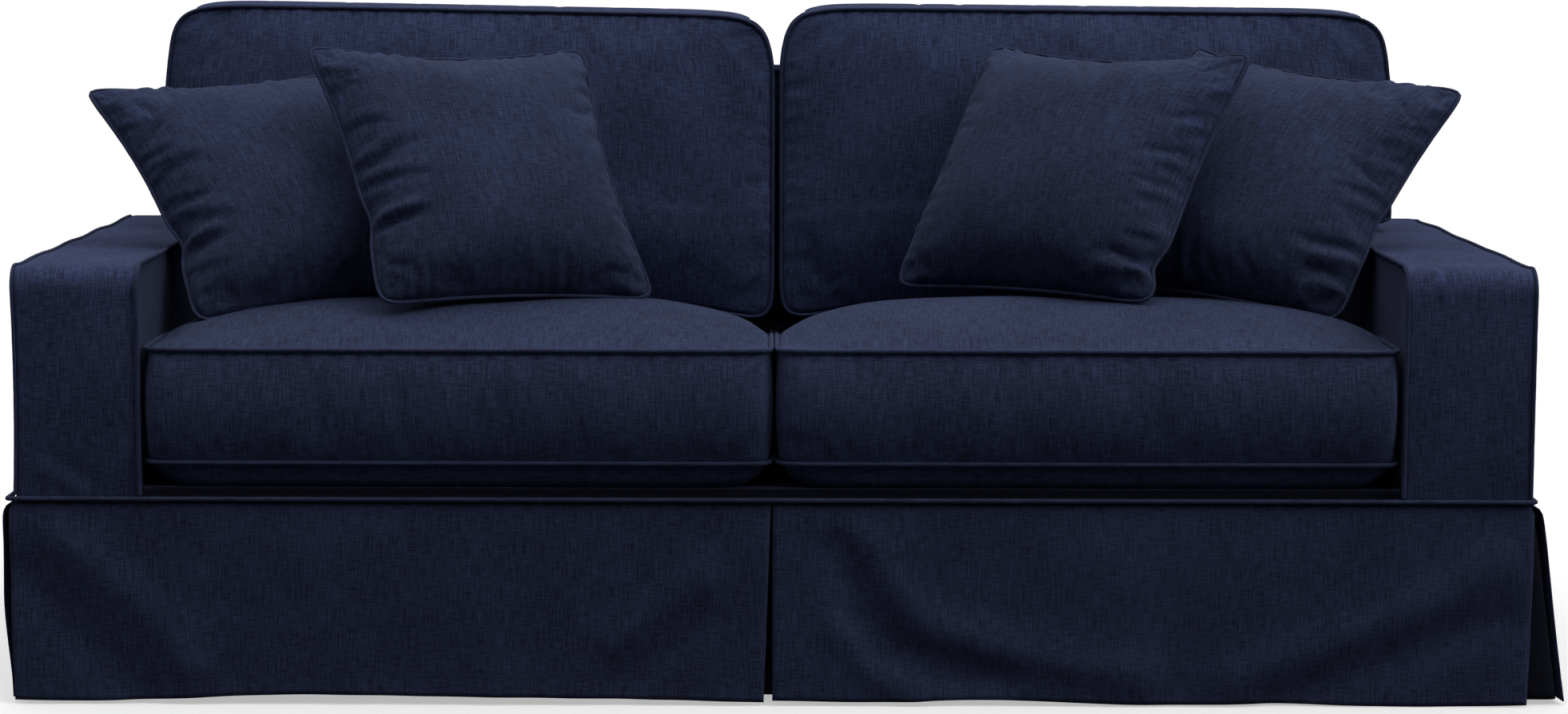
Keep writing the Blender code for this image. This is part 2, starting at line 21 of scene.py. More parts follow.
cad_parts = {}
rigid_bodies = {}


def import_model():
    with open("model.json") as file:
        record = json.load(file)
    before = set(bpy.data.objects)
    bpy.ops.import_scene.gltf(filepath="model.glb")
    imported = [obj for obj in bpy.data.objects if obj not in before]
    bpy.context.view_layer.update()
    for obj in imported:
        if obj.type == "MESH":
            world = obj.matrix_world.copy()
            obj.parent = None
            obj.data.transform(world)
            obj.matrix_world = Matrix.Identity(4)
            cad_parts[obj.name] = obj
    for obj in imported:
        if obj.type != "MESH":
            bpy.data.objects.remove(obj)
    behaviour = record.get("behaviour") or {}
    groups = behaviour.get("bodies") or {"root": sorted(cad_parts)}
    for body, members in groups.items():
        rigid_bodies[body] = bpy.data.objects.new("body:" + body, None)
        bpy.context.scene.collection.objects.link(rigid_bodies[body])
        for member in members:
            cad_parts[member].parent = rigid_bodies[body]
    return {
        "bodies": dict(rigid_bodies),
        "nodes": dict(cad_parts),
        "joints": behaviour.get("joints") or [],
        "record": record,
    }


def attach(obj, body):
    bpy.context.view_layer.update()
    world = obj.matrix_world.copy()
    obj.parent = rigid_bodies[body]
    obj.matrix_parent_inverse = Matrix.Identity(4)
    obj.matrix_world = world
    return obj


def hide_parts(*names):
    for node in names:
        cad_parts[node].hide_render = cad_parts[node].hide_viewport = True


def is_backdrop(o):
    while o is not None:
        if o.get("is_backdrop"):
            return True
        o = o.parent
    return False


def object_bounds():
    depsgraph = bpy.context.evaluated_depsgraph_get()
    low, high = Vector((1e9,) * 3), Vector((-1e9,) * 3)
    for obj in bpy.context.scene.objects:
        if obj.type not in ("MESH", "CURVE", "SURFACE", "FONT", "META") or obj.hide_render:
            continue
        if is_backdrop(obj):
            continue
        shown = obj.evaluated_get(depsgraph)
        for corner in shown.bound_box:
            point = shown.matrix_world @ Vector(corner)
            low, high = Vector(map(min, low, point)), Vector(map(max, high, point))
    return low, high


LOG = logging.getLogger("slipcover")

FRAME_ORIGIN = Vector((0.0, 0.849, 0.858))
FLAT_MAP = "flat_cloth"
# The mesh attribute for the wear at the seams, and for painted light and shade on whole panels
SEAM_LIGHT_AND_SHADE_ATTRIBUTE = "seam"

CLOTH_THICKNESS = 0.002

# How far in from an edge the cloth is rubbed, and how far a panel's middle stays clear of its edges
SEAM_REACH = 0.010
COVER_SEAM_REACH = 0.012
SEAM_MARGIN = 1.6

# A place of a block lies on one of its faces where it is further out than this share of its half size
RIM = 0.999

# A crease fades in and out over these shares of its length, and its ridge stands beside its valley
# by so many of the valley's widths
CREASE_STARTS = (-0.12, 0.22)
CREASE_ENDS = (0.45, 1.12)
RIDGE_OFFSET = 1.9
RIDGE_WIDTH = 1.3

# The distance between two crests of Blender's wave texture at scale 1
WAVE_PERIOD = 0.314

# The cord's points and the small gathers of the cloth round it
CORD_RADIUS = 0.0034
CORD_SPACING = 0.0075
GATHER_SHARE = 0.3
GATHER_PITCH = 0.016

# The stitches of the skirt's hem
STITCHES = {"Pitch": 0.0075, "Stitch length": 0.0042, "Thread radius": 0.00035}

# The soft, matt surface that all the set's cloth has
SPECULAR = 0.15
SHEEN = 0.10
SHEEN_ROUGHNESS = 0.45
SHEEN_TINT = (0.45, 0.55, 0.95, 1.0)

Array = np.ndarray
Socket = bpy.types.NodeSocket
Span = tuple[float, float]
Colour = tuple[float, float, float]


class Side(Enum):
    """The two ends of the sofa, as seen from the front."""

    LEFT = -1
    RIGHT = 1

    @property
    def label(self) -> str:
        """The side's word in the names of nodes."""
        return self.name.lower()


class Hold(Enum):
    """How a sheet of cloth is held."""

    LAID = "laid"
    HUNG = "hung"
    STRETCHED = "stretched"


# Arithmetic on arrays


def share(low: float | Array, high: float | Array, part: float | Array) -> float | Array:
    """The value that lies a part of the way from low to high."""
    return low + (high - low) * part


def smooth_step(low: float, high: float, value: float | Array) -> float | Array:
    """Eases from 0 at low to 1 at high."""
    part = np.clip((value - low) / (high - low), 0.0, 1.0)
    return part * part * (3.0 - 2.0 * part)


def unit(vectors: Array) -> Array:
    """Vectors of the same directions with length 1, one a row."""
    return vectors / np.maximum(np.linalg.norm(vectors, axis=1, keepdims=True), 1e-12)


def dome(value: float | Array, power: float, steepness: float) -> float | Array:
    """1 in the middle, 0 at either end of -1 to 1."""
    return np.maximum(0.0, 1.0 - np.abs(value) ** power) ** steepness


def rounded(u: Array, v: Array, power: float) -> tuple[Array, Array]:
    """Rounds the corners of the square from -1 to 1, most at its rim.

    Args:
        u: Places from left to right.
        v: Places from bottom to top.
        power: How square the corners stay.

    Returns:
        Both coordinates of the moved places.
    """
    rim = np.maximum(np.abs(u), np.abs(v))
    reach = np.where(rim == 0.0, 1.0, rim)
    pull = ((np.abs(u) / reach) ** power + (np.abs(v) / reach) ** power + (rim == 0.0)) ** (-1.0 / power)
    pull = share(1.0, pull, rim**3)
    return u * pull, v * pull


def ripple(place: Array, wave: float, seed: int, terms: int = 7) -> Array:
    """A smooth, uneven field of about -1 to 1, the same at each run.

    Args:
        place: Points in two or three dimensions, one a row.
        wave: The usual distance between two crests.
        seed: Which of the possible fields it is.
        terms: How many plane waves it adds up.

    Returns:
        One value for each point.
    """
    dice = np.random.default_rng(seed)
    total = np.zeros(len(place))
    for _ in range(terms):
        direction = dice.normal(size=place.shape[1])
        direction *= 2.0 * math.pi / (wave * dice.uniform(0.75, 1.6) * np.linalg.norm(direction))
        total += np.sin(place @ direction + dice.uniform(0.0, 2.0 * math.pi))
    return total / math.sqrt(terms)


@dataclass(frozen=True)
class Waver:
    """A broad unevenness of cloth: how deep it is and how far apart its crests are."""

    depth: float
    wave: float

    def at(self, place: Array, seed: int) -> Array:
        """How far it pushes each place out."""
        return self.depth * ripple(place, self.wave, seed)


@dataclass(frozen=True)
class Crease:
    """One crease of a cloth, a valley with a softer ridge beside it.

    Its ends are places on the flat cloth, and bow bends it sideways in the middle.
    """

    start: tuple[float, float]
    end: tuple[float, float]
    depth: float
    width: float
    bow: float = 0.0
    ridge: float = 0.7

    def field(self, x: Array, y: Array) -> Array:
        """How far the crease pushes each place of the flat cloth out.

        Args:
            x: Places across the flat cloth.
            y: Places up the flat cloth.

        Returns:
            One distance for each place.
        """
        run = np.subtract(self.end, self.start)
        length = float(np.hypot(*run))
        ahead = run / length
        along = ((x - self.start[0]) * ahead[0] + (y - self.start[1]) * ahead[1]) / length
        across = (y - self.start[1]) * ahead[0] - (x - self.start[0]) * ahead[1]
        across = across - self.bow * 4.0 * along * (1.0 - along)
        fade = smooth_step(*CREASE_STARTS, along) * (1.0 - smooth_step(*CREASE_ENDS, along))
        valley = np.exp(-((across / self.width) ** 2))
        ridge = np.exp(-(((across - RIDGE_OFFSET * self.width) / (RIDGE_WIDTH * self.width)) ** 2))
        return self.depth * fade * (self.ridge * ridge - valley)


@dataclass(frozen=True)
class Fold:
    """One soft fold of hanging cloth: a ridge where push is above 0, a trough where it is below."""

    push: float
    width: float
    line: tuple[tuple[float, float], ...]

    def field(self, x: Array, y: Array) -> Array:
        """How far the fold pushes each place of the panel out.

        Args:
            x: Places across the flat panel.
            y: Places up the flat panel.

        Returns:
            One distance for each place.
        """
        miss = np.full_like(x, 1e9)
        for start, end in zip(self.line, self.line[1:]):
            run = np.subtract(end, start)
            part = np.clip(((x - start[0]) * run[0] + (y - start[1]) * run[1]) / float(run @ run), 0.0, 1.0)
            miss = np.minimum(miss, np.hypot(x - start[0] - run[0] * part, y - start[1] - run[1] * part))
        return self.push * np.exp(-((miss / self.width) ** 2))


def relief(marks: Sequence[Crease | Fold], x: Array, y: Array) -> Array:
    """The sum of all creases and folds at each place of the flat cloth."""
    return sum((mark.field(x, y) for mark in marks), np.zeros_like(x))


# Meshes


@dataclass
class Shape:
    """A mesh in the making: its points, its four-sided faces and the flat cloth under each corner."""

    points: Array
    faces: Array
    flat: Array
    # The wear at the seams, plus painted shade where it is below 0 and painted light where a panel's value is raised
    seam: Array

    def normals(self) -> Array:
        """The outward direction at each point.

        Returns:
            One direction for each point.
        """
        a, b, c, d = (self.points[self.faces[:, corner]] for corner in range(4))
        facing = np.cross(c - a, d - b)
        total = np.zeros_like(self.points)
        for corner in range(4):
            np.add.at(total, self.faces[:, corner], facing)
        return unit(total)

    def inner(self) -> Array:
        """1 inside the panel, 0 at its edges."""
        return 1.0 - np.clip(self.seam * SEAM_MARGIN, 0.0, 1.0)

    def shaded(self, value: float) -> None:
        """Gives the whole panel one seam value; below 0 it is painted shade, which darkens the colour."""
        self.seam = np.full_like(self.seam, value)

    def push(self, distance: Array) -> None:
        """Moves each point outwards by its distance."""
        self.points = self.points + self.normals() * distance[:, None]

    def mesh(self, name: str) -> bpy.types.Mesh:
        """Makes the Blender mesh, with its flat map and its seam attribute, which carries the wear at the seams and
        painted light and shade.

        Args:
            name: The mesh's name.

        Returns:
            The mesh.
        """
        mesh = bpy.data.meshes.new(name)
        mesh.vertices.add(len(self.points))
        mesh.vertices.foreach_set("co", self.points.astype(np.float32).ravel())
        mesh.loops.add(self.faces.size)
        mesh.loops.foreach_set("vertex_index", self.faces.astype(np.int32).ravel())
        mesh.polygons.add(len(self.faces))
        mesh.polygons.foreach_set("loop_start", np.arange(0, self.faces.size, 4, dtype=np.int32))
        mesh.update(calc_edges=True)
        flat = mesh.uv_layers.new(name=FLAT_MAP)
        flat.data.foreach_set("uv", self.flat.astype(np.float32).ravel())
        seam = mesh.attributes.new(SEAM_LIGHT_AND_SHADE_ATTRIBUTE, "FLOAT", "POINT")
        seam.data.foreach_set("value", self.seam.astype(np.float32))
        mesh.shade_smooth()
        return mesh


def grid(across: Array, up: Array, place: Callable[[Array, Array], Array]) -> Shape:
    """A sheet over a grid of places of the flat cloth.

    Args:
        across: The flat cloth's places from left to right, as seen from outside.
        up: Its places from the bottom to the top.
        place: Gives the outer surface's point at each flat place.

    Returns:
        The sheet's shape, with a seam value that rises towards its edges.
    """
    x, y = (part.ravel() for part in np.meshgrid(across, up))
    columns = len(across)
    corner = np.arange(len(up) * columns).reshape(len(up), columns)
    faces = np.stack([corner[:-1, :-1], corner[:-1, 1:], corner[1:, 1:], corner[1:, :-1]], axis=-1).reshape(-1, 4)
    edge = np.minimum.reduce([x - across[0], across[-1] - x, y - up[0], up[-1] - y])
    flat = np.stack([x, y], axis=1)[faces]
    return Shape(place(x, y), faces, flat, np.exp(-edge / SEAM_REACH))


def block(counts: tuple[int, int, int]) -> tuple[Array, Array, Array]:
    """The skin of a block from -1 to 1, cut evenly along each axis.

    Args:
        counts: How many faces there are along each axis.

    Returns:
        The skin's places, its faces, and for each face the axis that it faces along.
    """
    index = np.indices([count + 1 for count in counts])
    skin = np.logical_or.reduce([index[axis] % counts[axis] == 0 for axis in range(3)])
    number = np.full(skin.shape, -1)
    number[skin] = np.arange(int(skin.sum()))
    places = np.stack([index[axis][skin] / counts[axis] * 2.0 - 1.0 for axis in range(3)], axis=1)
    faces, axes = [], []
    for axis in range(3):
        for end in (0, -1):
            layer = np.take(number, end, axis=axis)
            quads = np.stack([layer[:-1, :-1], layer[1:, :-1], layer[1:, 1:], layer[:-1, 1:]], axis=-1).reshape(-1, 4)
            faces.append(quads if (end == -1) != (axis == 1) else quads[:, ::-1])
            axes.append(np.full(len(quads), axis))
    return places, np.concatenate(faces), np.concatenate(axes)


def lengths(route: Array) -> Array:
    """The length along a route up to each of its points."""
    return np.concatenate([[0.0], np.cumsum(np.linalg.norm(np.diff(route, axis=0), axis=1))])


def beside(route: Array, normal: Array, outward: float, along_normal: float, closed: bool) -> Array:
    """Moves a route sideways, mitred at its bends.

    Args:
        route: The points of the seam that it follows.
        normal: The direction square to the seam's plane, one for all points.
        outward: The step in the seam's plane, to the right of the run as seen against normal.
        along_normal: The step along normal.
        closed: Whether the route's last point meets its first.

    Returns:
        The moved points.
    """
    beyond = route[:1] if closed else route[-1:] * 2 - route[-2:-1]
    ahead = np.diff(route, axis=0, append=beyond)
    behind = np.roll(ahead, 1, axis=0)
    if not closed:
        behind[0] = ahead[0]
    sides = [unit(np.cross(run, normal)) for run in (behind, ahead)]
    middle = unit(sides[0] + sides[1])
    reach = outward / np.maximum(0.5, (middle * sides[0]).sum(axis=1, keepdims=True))
    return route + middle * reach + np.asarray(normal) * along_normal


def stand(name: str, data: bpy.types.ID) -> bpy.types.Object:
    """Adds an object to the scene.

    Args:
        name: The object's name.
        data: Its mesh, curve, light or camera.

    Returns:
        The new object.
    """
    thing = bpy.data.objects.new(name, data)
    bpy.context.scene.collection.objects.link(thing)
    return thing


# Finishes


class Tree:
    """Adds nodes to a node tree and wires them."""

    def __init__(self, tree: bpy.types.NodeTree) -> None:
        """Takes the tree that the nodes go into."""
        self.tree = tree

    def add(self, kind: str, inputs: dict | None = None, **settings: object) -> bpy.types.Node:
        """Adds one node.

        Args:
            kind: The node's type, such as ShaderNodeMix.
            inputs: Values or other nodes' outputs, by the input's name or number.
            settings: The node's own settings.

        Returns:
            The new node.
        """
        node = self.tree.nodes.new(kind)
        for name, value in settings.items():
            setattr(node, name, value)
        for name, value in (inputs or {}).items():
            socket = node.inputs[name]
            if isinstance(value, Socket):
                self.tree.links.new(value, socket)
            else:
                socket.default_value = value
        return node

    def math(self, operation: str, *values: object) -> Socket:
        """Adds a Math node and returns its result."""
        node = self.add("ShaderNodeMath", dict(enumerate(values)), operation=operation)
        return node.outputs[0]


def two_tones(tree: Tree, tone: Socket, span: Span, dark: Colour, light: Colour) -> Socket:
    """Colours a value from dark to light over a span of it.

    Args:
        tree: The material's nodes.
        tone: The value.
        span: Where the value gives dark and where it gives light.
        dark: The darker colour.
        light: The lighter colour.

    Returns:
        The colour.
    """
    ramp = tree.add("ShaderNodeValToRGB", {"Fac": tone})
    for number, colour in enumerate((dark, light)):
        ramp.color_ramp.elements[number].position = span[number]
        ramp.color_ramp.elements[number].color = (*colour, 1.0)
    return ramp.outputs[0]


def blend(tree: Tree, *parts: tuple[Socket, float]) -> Socket:
    """Adds up values, each times its weight.

    Args:
        tree: The material's nodes.
        parts: Each value with its weight.

    Returns:
        The sum.
    """
    total = tree.math("MULTIPLY", *parts[0])
    for part in parts[1:]:
        total = tree.math("ADD", total, tree.math("MULTIPLY", *part))
    return total


@dataclass(frozen=True)
class Cloth:
    """What both finishes of the set's cloth share: their names, their two tones and their soft surface."""

    name: str
    slot: str
    dark: Colour
    light: Colour

    def weave(self, tree: Tree, shader: bpy.types.Node) -> None:
        """Adds the nodes of the cloth's pattern."""
        raise NotImplementedError

    def make(self) -> bpy.types.Material:
        """Builds the material.

        Returns:
            The material.
        """
        material = bpy.data.materials.new(self.name)
        material.use_nodes = True
        shader = material.node_tree.nodes["Principled BSDF"]
        shader.inputs["Specular IOR Level"].default_value = SPECULAR
        shader.inputs["Sheen Weight"].default_value = SHEEN
        shader.inputs["Sheen Roughness"].default_value = SHEEN_ROUGHNESS
        shader.inputs["Sheen Tint"].default_value = SHEEN_TINT
        self.weave(Tree(material.node_tree), shader)
        return material


@dataclass(frozen=True)
class WovenCloth(Cloth):
    """The set's plain-woven, slubby cloth, woven along its own flat map, with painted light that makes it lighter
    higher up.
    """

    # Painted light: over these heights the colour is scaled across the falloff span, darker low down and lighter high
    # up, standing in for the overhead light
    painted_falloff_heights: Span
    fade: Span
    pitch: float = 0.0011
    slub_width: float = 0.0019
    slub_length: float = 0.034
    slub_shares: tuple[float, float, float] = (0.42, 0.36, 0.22)
    weft_length: float = 0.6
    fine_size: Span = (0.45, 0.35)
    cloud_scale: float = 9.0
    cloud_share: float = 0.13
    tones: Span = (0.40, 0.62)
    # Tone added for the wear at the seams and for painted light where a panel's seam value is raised; shade_step
    # darkens the colour as painted shade for each unit of seam value below 0
    wear_and_light_tone: float = 0.03
    shade_step: float = 0.2
    slub_height: float = 1.5
    rib_height: float = 0.35
    relief: float = 0.00035
    roughness: Span = (0.82, 0.98)

    def streaks(self, tree: Tree, flat: Socket, width: float, length: float,
                turned: bool = False) -> Socket:
        """Noise drawn out along the threads of one direction.

        Args:
            tree: The material's nodes.
            flat: The place on the flat cloth.
            width: How wide a streak is.
            length: How long a streak is.
            turned: Whether the streaks run across the cloth, as the weft does.

        Returns:
            The noise.
        """
        scale = (1.0 / length, 1.0 / width, 1.0) if turned else (1.0 / width, 1.0 / length, 1.0)
        stretched = tree.add("ShaderNodeMapping", {"Vector": flat, "Scale": scale}, vector_type="POINT")
        noise = tree.add("ShaderNodeTexNoise",
                         {"Vector": stretched.outputs[0], "Scale": 1.0, "Detail": 2.5, "Roughness": 0.55},
                         noise_dimensions="2D")
        return noise.outputs[0]

    def threads(self, tree: Tree, flat: Socket, direction: str) -> Socket:
        """The regular ribs of the threads of one direction.

        Args:
            tree: The material's nodes.
            flat: The place on the flat cloth.
            direction: The axis that the ribs follow one another along.

        Returns:
            The height of the ribs.
        """
        sizes = {"Scale": WAVE_PERIOD / self.pitch, "Distortion": 0.6, "Detail": 1.0, "Detail Scale": 0.4}
        wave = tree.add("ShaderNodeTexWave", {"Vector": flat, **sizes},
                        wave_type="BANDS", bands_direction=direction, wave_profile="SIN")
        return wave.outputs[1]

    def lit(self, tree: Tree, place: Socket, wear_light_and_shade: Socket) -> Socket:
        """Painted light and shade: the colour is darker low down and lighter higher up, standing in for the overhead
        light's falloff, and darker in the panels given painted shade.

        Args:
            tree: The material's nodes.
            place: The place in the model.
            wear_light_and_shade: The seam value: above 0 for the wear at the seams and for painted light, below 0 for
                painted shade.

        Returns:
            What the colour is multiplied by.
        """
        painted_shade_factor = tree.math("ADD", tree.math("MULTIPLY", tree.math("MINIMUM", wear_light_and_shade, 0.0), self.shade_step), 1.0)
        height = tree.add("ShaderNodeSeparateXYZ", {0: place}).outputs[2]
        painted_falloff = tree.add("ShaderNodeMapRange",
                         {"Value": height, "From Min": self.painted_falloff_heights[0] - FRAME_ORIGIN.z,
                          "From Max": self.painted_falloff_heights[1] - FRAME_ORIGIN.z,
                          "To Min": self.fade[0], "To Max": self.fade[1]}, interpolation_type="SMOOTHSTEP")
        return tree.math("MULTIPLY", painted_shade_factor, painted_falloff.outputs[0])

    def weave(self, tree: Tree, shader: bpy.types.Node) -> None:
        """Adds slubs, ribs, clouds, the wear at the seams, and the painted light and shade.

        Args:
            tree: The material's nodes.
            shader: The node that takes them.
        """
        flat = tree.add("ShaderNodeUVMap", uv_map=FLAT_MAP).outputs[0]
        place = tree.add("ShaderNodeTexCoord").outputs["Object"]
        warp = self.streaks(tree, flat, self.slub_width, self.slub_length)
        weft = self.streaks(tree, flat, self.slub_width, self.slub_length * self.weft_length, turned=True)
        fine = self.streaks(tree, flat, self.slub_width * self.fine_size[0], self.slub_length * self.fine_size[1])
        cloud = tree.add("ShaderNodeTexNoise", {"Vector": place, "Scale": self.cloud_scale, "Detail": 3.0}).outputs[0]
        slubs = blend(tree, *zip((warp, weft, fine), self.slub_shares))
        wear_light_and_shade = tree.add("ShaderNodeAttribute", attribute_name=SEAM_LIGHT_AND_SHADE_ATTRIBUTE, attribute_type="GEOMETRY").outputs["Fac"]
        tone = blend(tree, (slubs, 1.0 - self.cloud_share), (cloud, self.cloud_share),
                     (tree.math("MAXIMUM", wear_light_and_shade, 0.0), self.wear_and_light_tone))
        # Painted light and shade scale the colour
        colour = tree.add("ShaderNodeVectorMath", {0: two_tones(tree, tone, self.tones, self.dark, self.light),
                                                   "Scale": self.lit(tree, place, wear_light_and_shade)}, operation="SCALE")
        ribs = tree.math("MAXIMUM", self.threads(tree, flat, "X"), self.threads(tree, flat, "Y"))
        height = blend(tree, (slubs, self.slub_height), (ribs, self.rib_height))
        bump = tree.add("ShaderNodeBump", {"Height": height, "Strength": 1.0, "Distance": self.relief})
        rough = tree.add("ShaderNodeMapRange",
                         {"Value": warp, "To Min": self.roughness[0], "To Max": self.roughness[1]})
        for node, socket in ((colour, "Base Color"), (bump, "Normal"), (rough, "Roughness")):
            tree.tree.links.new(node.outputs[0], shader.inputs[socket])


@dataclass(frozen=True)
class CordCloth(Cloth):
    """The same cloth wrapped round a cord or drawn out to a thread, too narrow for a flat map."""

    grain: float = 420.0
    cloud_scale: float = 26.0
    cloud_share: float = 0.4
    tones: Span = (0.35, 0.68)
    relief: float = 0.0004
    roughness: float = 0.88

    def weave(self, tree: Tree, shader: bpy.types.Node) -> None:
        """Adds the threads and the clouds.

        Args:
            tree: The material's nodes.
            shader: The node that takes them.
        """
        place = tree.add("ShaderNodeTexCoord").outputs["Object"]
        threads = tree.add("ShaderNodeTexNoise", {"Vector": place, "Scale": self.grain, "Detail": 2.0}).outputs[0]
        cloud = tree.add("ShaderNodeTexNoise", {"Vector": place, "Scale": self.cloud_scale, "Detail": 2.0}).outputs[0]
        tone = blend(tree, (threads, 1.0 - self.cloud_share), (cloud, self.cloud_share))
        bump = tree.add("ShaderNodeBump", {"Height": threads, "Strength": 0.6, "Distance": self.relief})
        tree.tree.links.new(two_tones(tree, tone, self.tones, self.dark, self.light), shader.inputs["Base Color"])
        tree.tree.links.new(bump.outputs[0], shader.inputs["Normal"])
        shader.inputs["Roughness"].default_value = self.roughness


# All three woven cloths are one fabric: their different tones and falloff spans are painted light and shade, matching
# how bright the cover, the cushions and the pillows each look in the studio light
COVER_CLOTH = WovenCloth("cover_cloth", "cover_cloth", (0.0105, 0.0138, 0.0345), (0.0400, 0.0525, 0.1270),
                         (0.26, 0.58), (0.69, 1.16))
CUSHION_CLOTH = WovenCloth("cushion_cloth", "cushion_cloth", (0.0116, 0.0156, 0.0380), (0.0430, 0.0580, 0.1370),
                           (0.46, 0.70), (0.86, 1.12))
PILLOW_CLOTH = WovenCloth("pillow_cloth", "pillow_cloth", (0.0100, 0.0136, 0.0330), (0.0360, 0.0493, 0.1170),
                          (0.50, 0.80), (0.64, 0.96))
PIPING = CordCloth("piping", "piping", (0.0120, 0.0152, 0.0370), (0.0305, 0.0393, 0.0920))
THREAD = CordCloth("sewing_thread", "piping", (0.0240, 0.0290, 0.0620), (0.0400, 0.0500, 0.1020), grain=2500.0)


# Geometry node trees


def path_tree(name: str, sizes: Sequence[str]) -> tuple[Tree, bpy.types.NodeOutputs]:
    """Starts a geometry node tree that works on a curve.

    Args:
        name: The tree's name.
        sizes: The names of its inputs for sizes.

    Returns:
        The tree and the outputs of its input node.
    """
    group = bpy.data.node_groups.new(name, "GeometryNodeTree")
    kinds = [("Geometry", "INPUT", "NodeSocketGeometry"), *((size, "INPUT", "NodeSocketFloat") for size in sizes),
             ("Material", "INPUT", "NodeSocketMaterial"), ("Geometry", "OUTPUT", "NodeSocketGeometry")]
    for label, way, kind in kinds:
        group.interface.new_socket(label, in_out=way, socket_type=kind)
    tree = Tree(group)
    return tree, tree.add("NodeGroupInput").outputs


def close_tree(tree: Tree, made: bpy.types.Node, material: Socket) -> bpy.types.NodeTree:
    """Ends a geometry node tree: real geometry, smooth and in its cloth.

    Args:
        tree: The tree.
        made: The node that gives the shape.
        material: The input for the cloth.

    Returns:
        The finished node tree.
    """
    real = tree.add("GeometryNodeRealizeInstances", {"Geometry": made.outputs[0]})
    smooth = tree.add("GeometryNodeSetShadeSmooth", {"Geometry": real.outputs[0], "Shade Smooth": True})
    dressed = tree.add("GeometryNodeSetMaterial", {"Geometry": smooth.outputs[0], "Material": material})
    tree.add("NodeGroupOutput", {"Geometry": dressed.outputs[0]})
    return tree.tree


def cord_tree() -> bpy.types.NodeTree:
    """Piping along a curve: a round cord whose cloth gathers a little at its seam.

    Returns:
        The node tree.
    """
    tree, start = path_tree("piping_cord", ("Radius", "Spacing", "Gather depth", "Gather pitch"))
    route = tree.add("GeometryNodeResampleCurve", {"Curve": start["Geometry"], "Length": start["Spacing"]},
                     mode="LENGTH")
    profile = tree.add("GeometryNodeCurvePrimitiveCircle", {"Resolution": 8, "Radius": start["Radius"]}, mode="RADIUS")
    tube = tree.add("GeometryNodeCurveToMesh",
                    {"Curve": route.outputs[0], "Profile Curve": profile.outputs[0], "Fill Caps": True})
    wave = tree.math("DIVIDE", 1.0, start["Gather pitch"])
    noise = tree.add("ShaderNodeTexNoise", {"Scale": wave, "Detail": 1.0})
    lift = tree.math("MULTIPLY", tree.math("SUBTRACT", noise.outputs[0], 0.5), start["Gather depth"])
    normal = tree.add("GeometryNodeInputNormal")
    offset = tree.add("ShaderNodeVectorMath", {0: normal.outputs[0], "Scale": lift}, operation="SCALE")
    moved = tree.add("GeometryNodeSetPosition", {"Geometry": tube.outputs[0], "Offset": offset.outputs[0]})
    return close_tree(tree, moved, start["Material"])


def stitch_tree() -> bpy.types.NodeTree:
    """Stitches along a curve, each a short, thin, rounded thread.

    Returns:
        The node tree.
    """
    tree, start = path_tree("stitch_row", ("Pitch", "Stitch length", "Thread radius"))
    spots = tree.add("GeometryNodeCurveToPoints", {"Curve": start["Geometry"], "Length": start["Pitch"]}, mode="LENGTH")
    bead = tree.add("GeometryNodeMeshUVSphere", {"Segments": 6, "Rings": 5, "Radius": 1.0})
    half = tree.math("MULTIPLY", start["Stitch length"], 0.5)
    size = tree.add("ShaderNodeCombineXYZ", {0: start["Thread radius"], 1: start["Thread radius"], 2: half})
    row = tree.add("GeometryNodeInstanceOnPoints",
                   {"Points": spots.outputs["Points"], "Instance": bead.outputs[0],
                    "Rotation": spots.outputs["Rotation"], "Scale": size.outputs[0]})
    return close_tree(tree, row, start["Material"])


# The workroom


